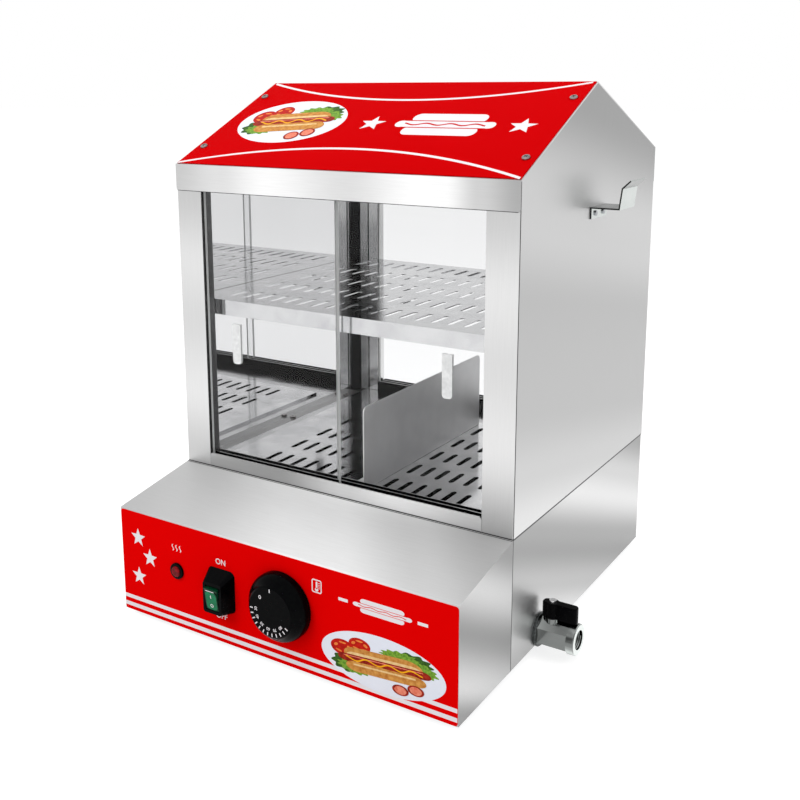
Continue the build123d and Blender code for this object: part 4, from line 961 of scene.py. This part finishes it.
hotDogMark("signMark", *sign["mark"], signFace, sign["top"], "signRed")
flatPrint("signStars", [star(x, y, sign["starRadius"]) for x, y in sign["stars"]], signFace, sign["top"])
print("sign print ready")

# Dial marks, clockwise from twelve o'clock
dial = {
    "middle": (11, 69.5),
    "tick": (20.2, 23.6, 1.1),
    "firstTick": 270,
    "tickApart": 13.6,
    "tickCount": 12,
    "digits": ["30", "40", "50", "60", "70", "80"],
    "digitSize": 4.2,
    "digitReach": 16.6,
    "ring": [(-11.5, 13.0, 1.5, 1.9), (-11.5, 13.0, 0.8, 1.2)],
}


def dialTick(angle, low, high, wide):
    # a short line away from the middle
    outX, outY = math.sin(angle), math.cos(angle)
    sideX, sideY = outY * wide / 2, -outX * wide / 2
    corners = ((low, -1), (low, 1), (high, 1), (high, -1))
    return [(outX * reach + sideX * side, outY * reach + sideY * side) for reach, side in corners]


dialX, dialZ = dial["middle"]
knobFace = printFace(spot(dialX, frontOf("dial_knob"), dialZ), (0, 0, 1), "knob", "black_plastic")
tickTurns = [0] + [dial["firstTick"] - dial["tickApart"] * step for step in range(dial["tickCount"])]
flatPrint("dialTicks", [dialTick(math.radians(turn), *dial["tick"]) for turn in tickTurns], knobFace)
for index, digits in enumerate(dial["digits"]):
    angle = math.radians(dial["firstTick"] - 2 * dial["tickApart"] * index)
    digitX = dial["digitReach"] * math.sin(angle)
    digitY = dial["digitReach"] * math.cos(angle)
    wordPrint(f"dialDigits_{digits}", digits, dial["digitSize"], digitX, digitY, knobFace, -angle)
flatPrint("dialZero", [oval(*edge, count=28) for edge in dial["ring"]], knobFace)
print("dial ready")

# Rocker: a green window with its marks, laid in the hollow of the tipped face
rocker = {
    "hinge": (-64.0, -111.5, 60.5),
    "reach": 6.5,
    "tilt": 9.0,
    "thick": 1.2,
    "rim": (15.2, 21.8, 4.4),
    "rimHeight": -1.2,
    "window": (13.4, 19.6, 4.0),
    "windowHeight": -1.1,
    "markHeight": 0.1,
    "onMark": (0, 4.6, 0.9, 3.4),
    "offMark": [(0, -5.4, 1.9, 1.9), (0, -5.4, 1.2, 1.2)],
    "glint": (-0.6, 10.6, 10.5, 0.8),
    "glintHeight": 0.02,
}
tip = math.radians(rocker["tilt"])
hingeX, hingeY, hingeZ = rocker["hinge"]
rockerOrigin = spot(
    hingeX, hingeY - rocker["reach"] * math.cos(tip), hingeZ - rocker["reach"] * math.sin(tip)
)
rockerFace = printFace(rockerOrigin, (0, -math.sin(tip), math.cos(tip)), "rocker", "green_plastic")
rim = box(0, 0, *rocker["rim"])
window = box(0, 0, *rocker["window"])
flatPrint("rockerRim", [rim], rockerFace, rocker["rimHeight"], "greenPlastic", rocker["thick"])
flatPrint("rockerWindow", [window], rockerFace, rocker["windowHeight"], "greenPanel", rocker["thick"])
flatPrint("rockerOnMark", [box(*rocker["onMark"])], rockerFace, rocker["markHeight"])
offMark = [oval(*edge, count=28) for edge in rocker["offMark"]]
flatPrint("rockerOffMark", offMark, rockerFace, rocker["markHeight"])
# a white strip along the top of the rocker, a painted highlight
flatPrint("rockerGlint", [box(*rocker["glint"])], rockerFace, rocker["glintHeight"])
print("rocker ready")

# Cross recesses of the sign screws
recess = {"side": 189, "fromEave": 36.0, "fromRidge": 37.0, "reach": 2.1, "half": 0.5, "height": 2.96}


def crossShape(reach, half):
    # one arm, turned a quarter each time
    arm = [(half, half), (reach, half), (reach, -half)]
    corners = []
    for _ in range(4):
        corners += arm
        arm = [(y, -x) for x, y in arm]
    return corners


screwFace = (signFace[0], "cabinet", "zinc")
rows = (recess["fromEave"], math.hypot(roof["rise"], roof["run"]) - recess["fromRidge"])
cross = crossShape(recess["reach"], recess["half"])
for index, (x, y) in enumerate([(side * recess["side"], row) for side in (-1, 1) for row in rows]):
    drawn = turned(cross, x, y, 0.5 + index)  # each screw stopped at its own angle
    flatPrint(f"signRecess_{index}", [drawn], screwFace, recess["height"], "inkPrint")
print("screw recesses ready")

# Thread in the mouth of the valve: one tooth turned along the pipe
thread = {"place": (227.0, 64.0, 22.0), "radius": 9.45, "tooth": 0.9, "pitch": 1.8, "turns": 7, "steps": 36}


def valveThread():
    tooth = bpy.data.meshes.new("valveThread")
    half = thread["pitch"] / 2
    crest = thread["radius"] - thread["tooth"]
    tooth.from_pydata(
        [(-half, thread["radius"], 0), (0, crest, 0), (half, thread["radius"], 0)], [(0, 1), (1, 2)], []
    )
    piece = inScene("valveThread", tooth)
    selectOnly(piece)
    turning = piece.modifiers.new("turning", "SCREW")
    turning.axis = "X"
    turning.screw_offset = thread["pitch"]
    turning.iterations = thread["turns"]
    turning.steps = thread["steps"]
    bpy.ops.object.modifier_apply(modifier="turning")
    piece.data.transform(Matrix.Translation(spot(*thread["place"])) @ Matrix.Scale(0.001, 4))
    piece.data.materials.append(paints["chrome"])
    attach(piece, "cabinet")


valveThread()
print("valve thread ready")
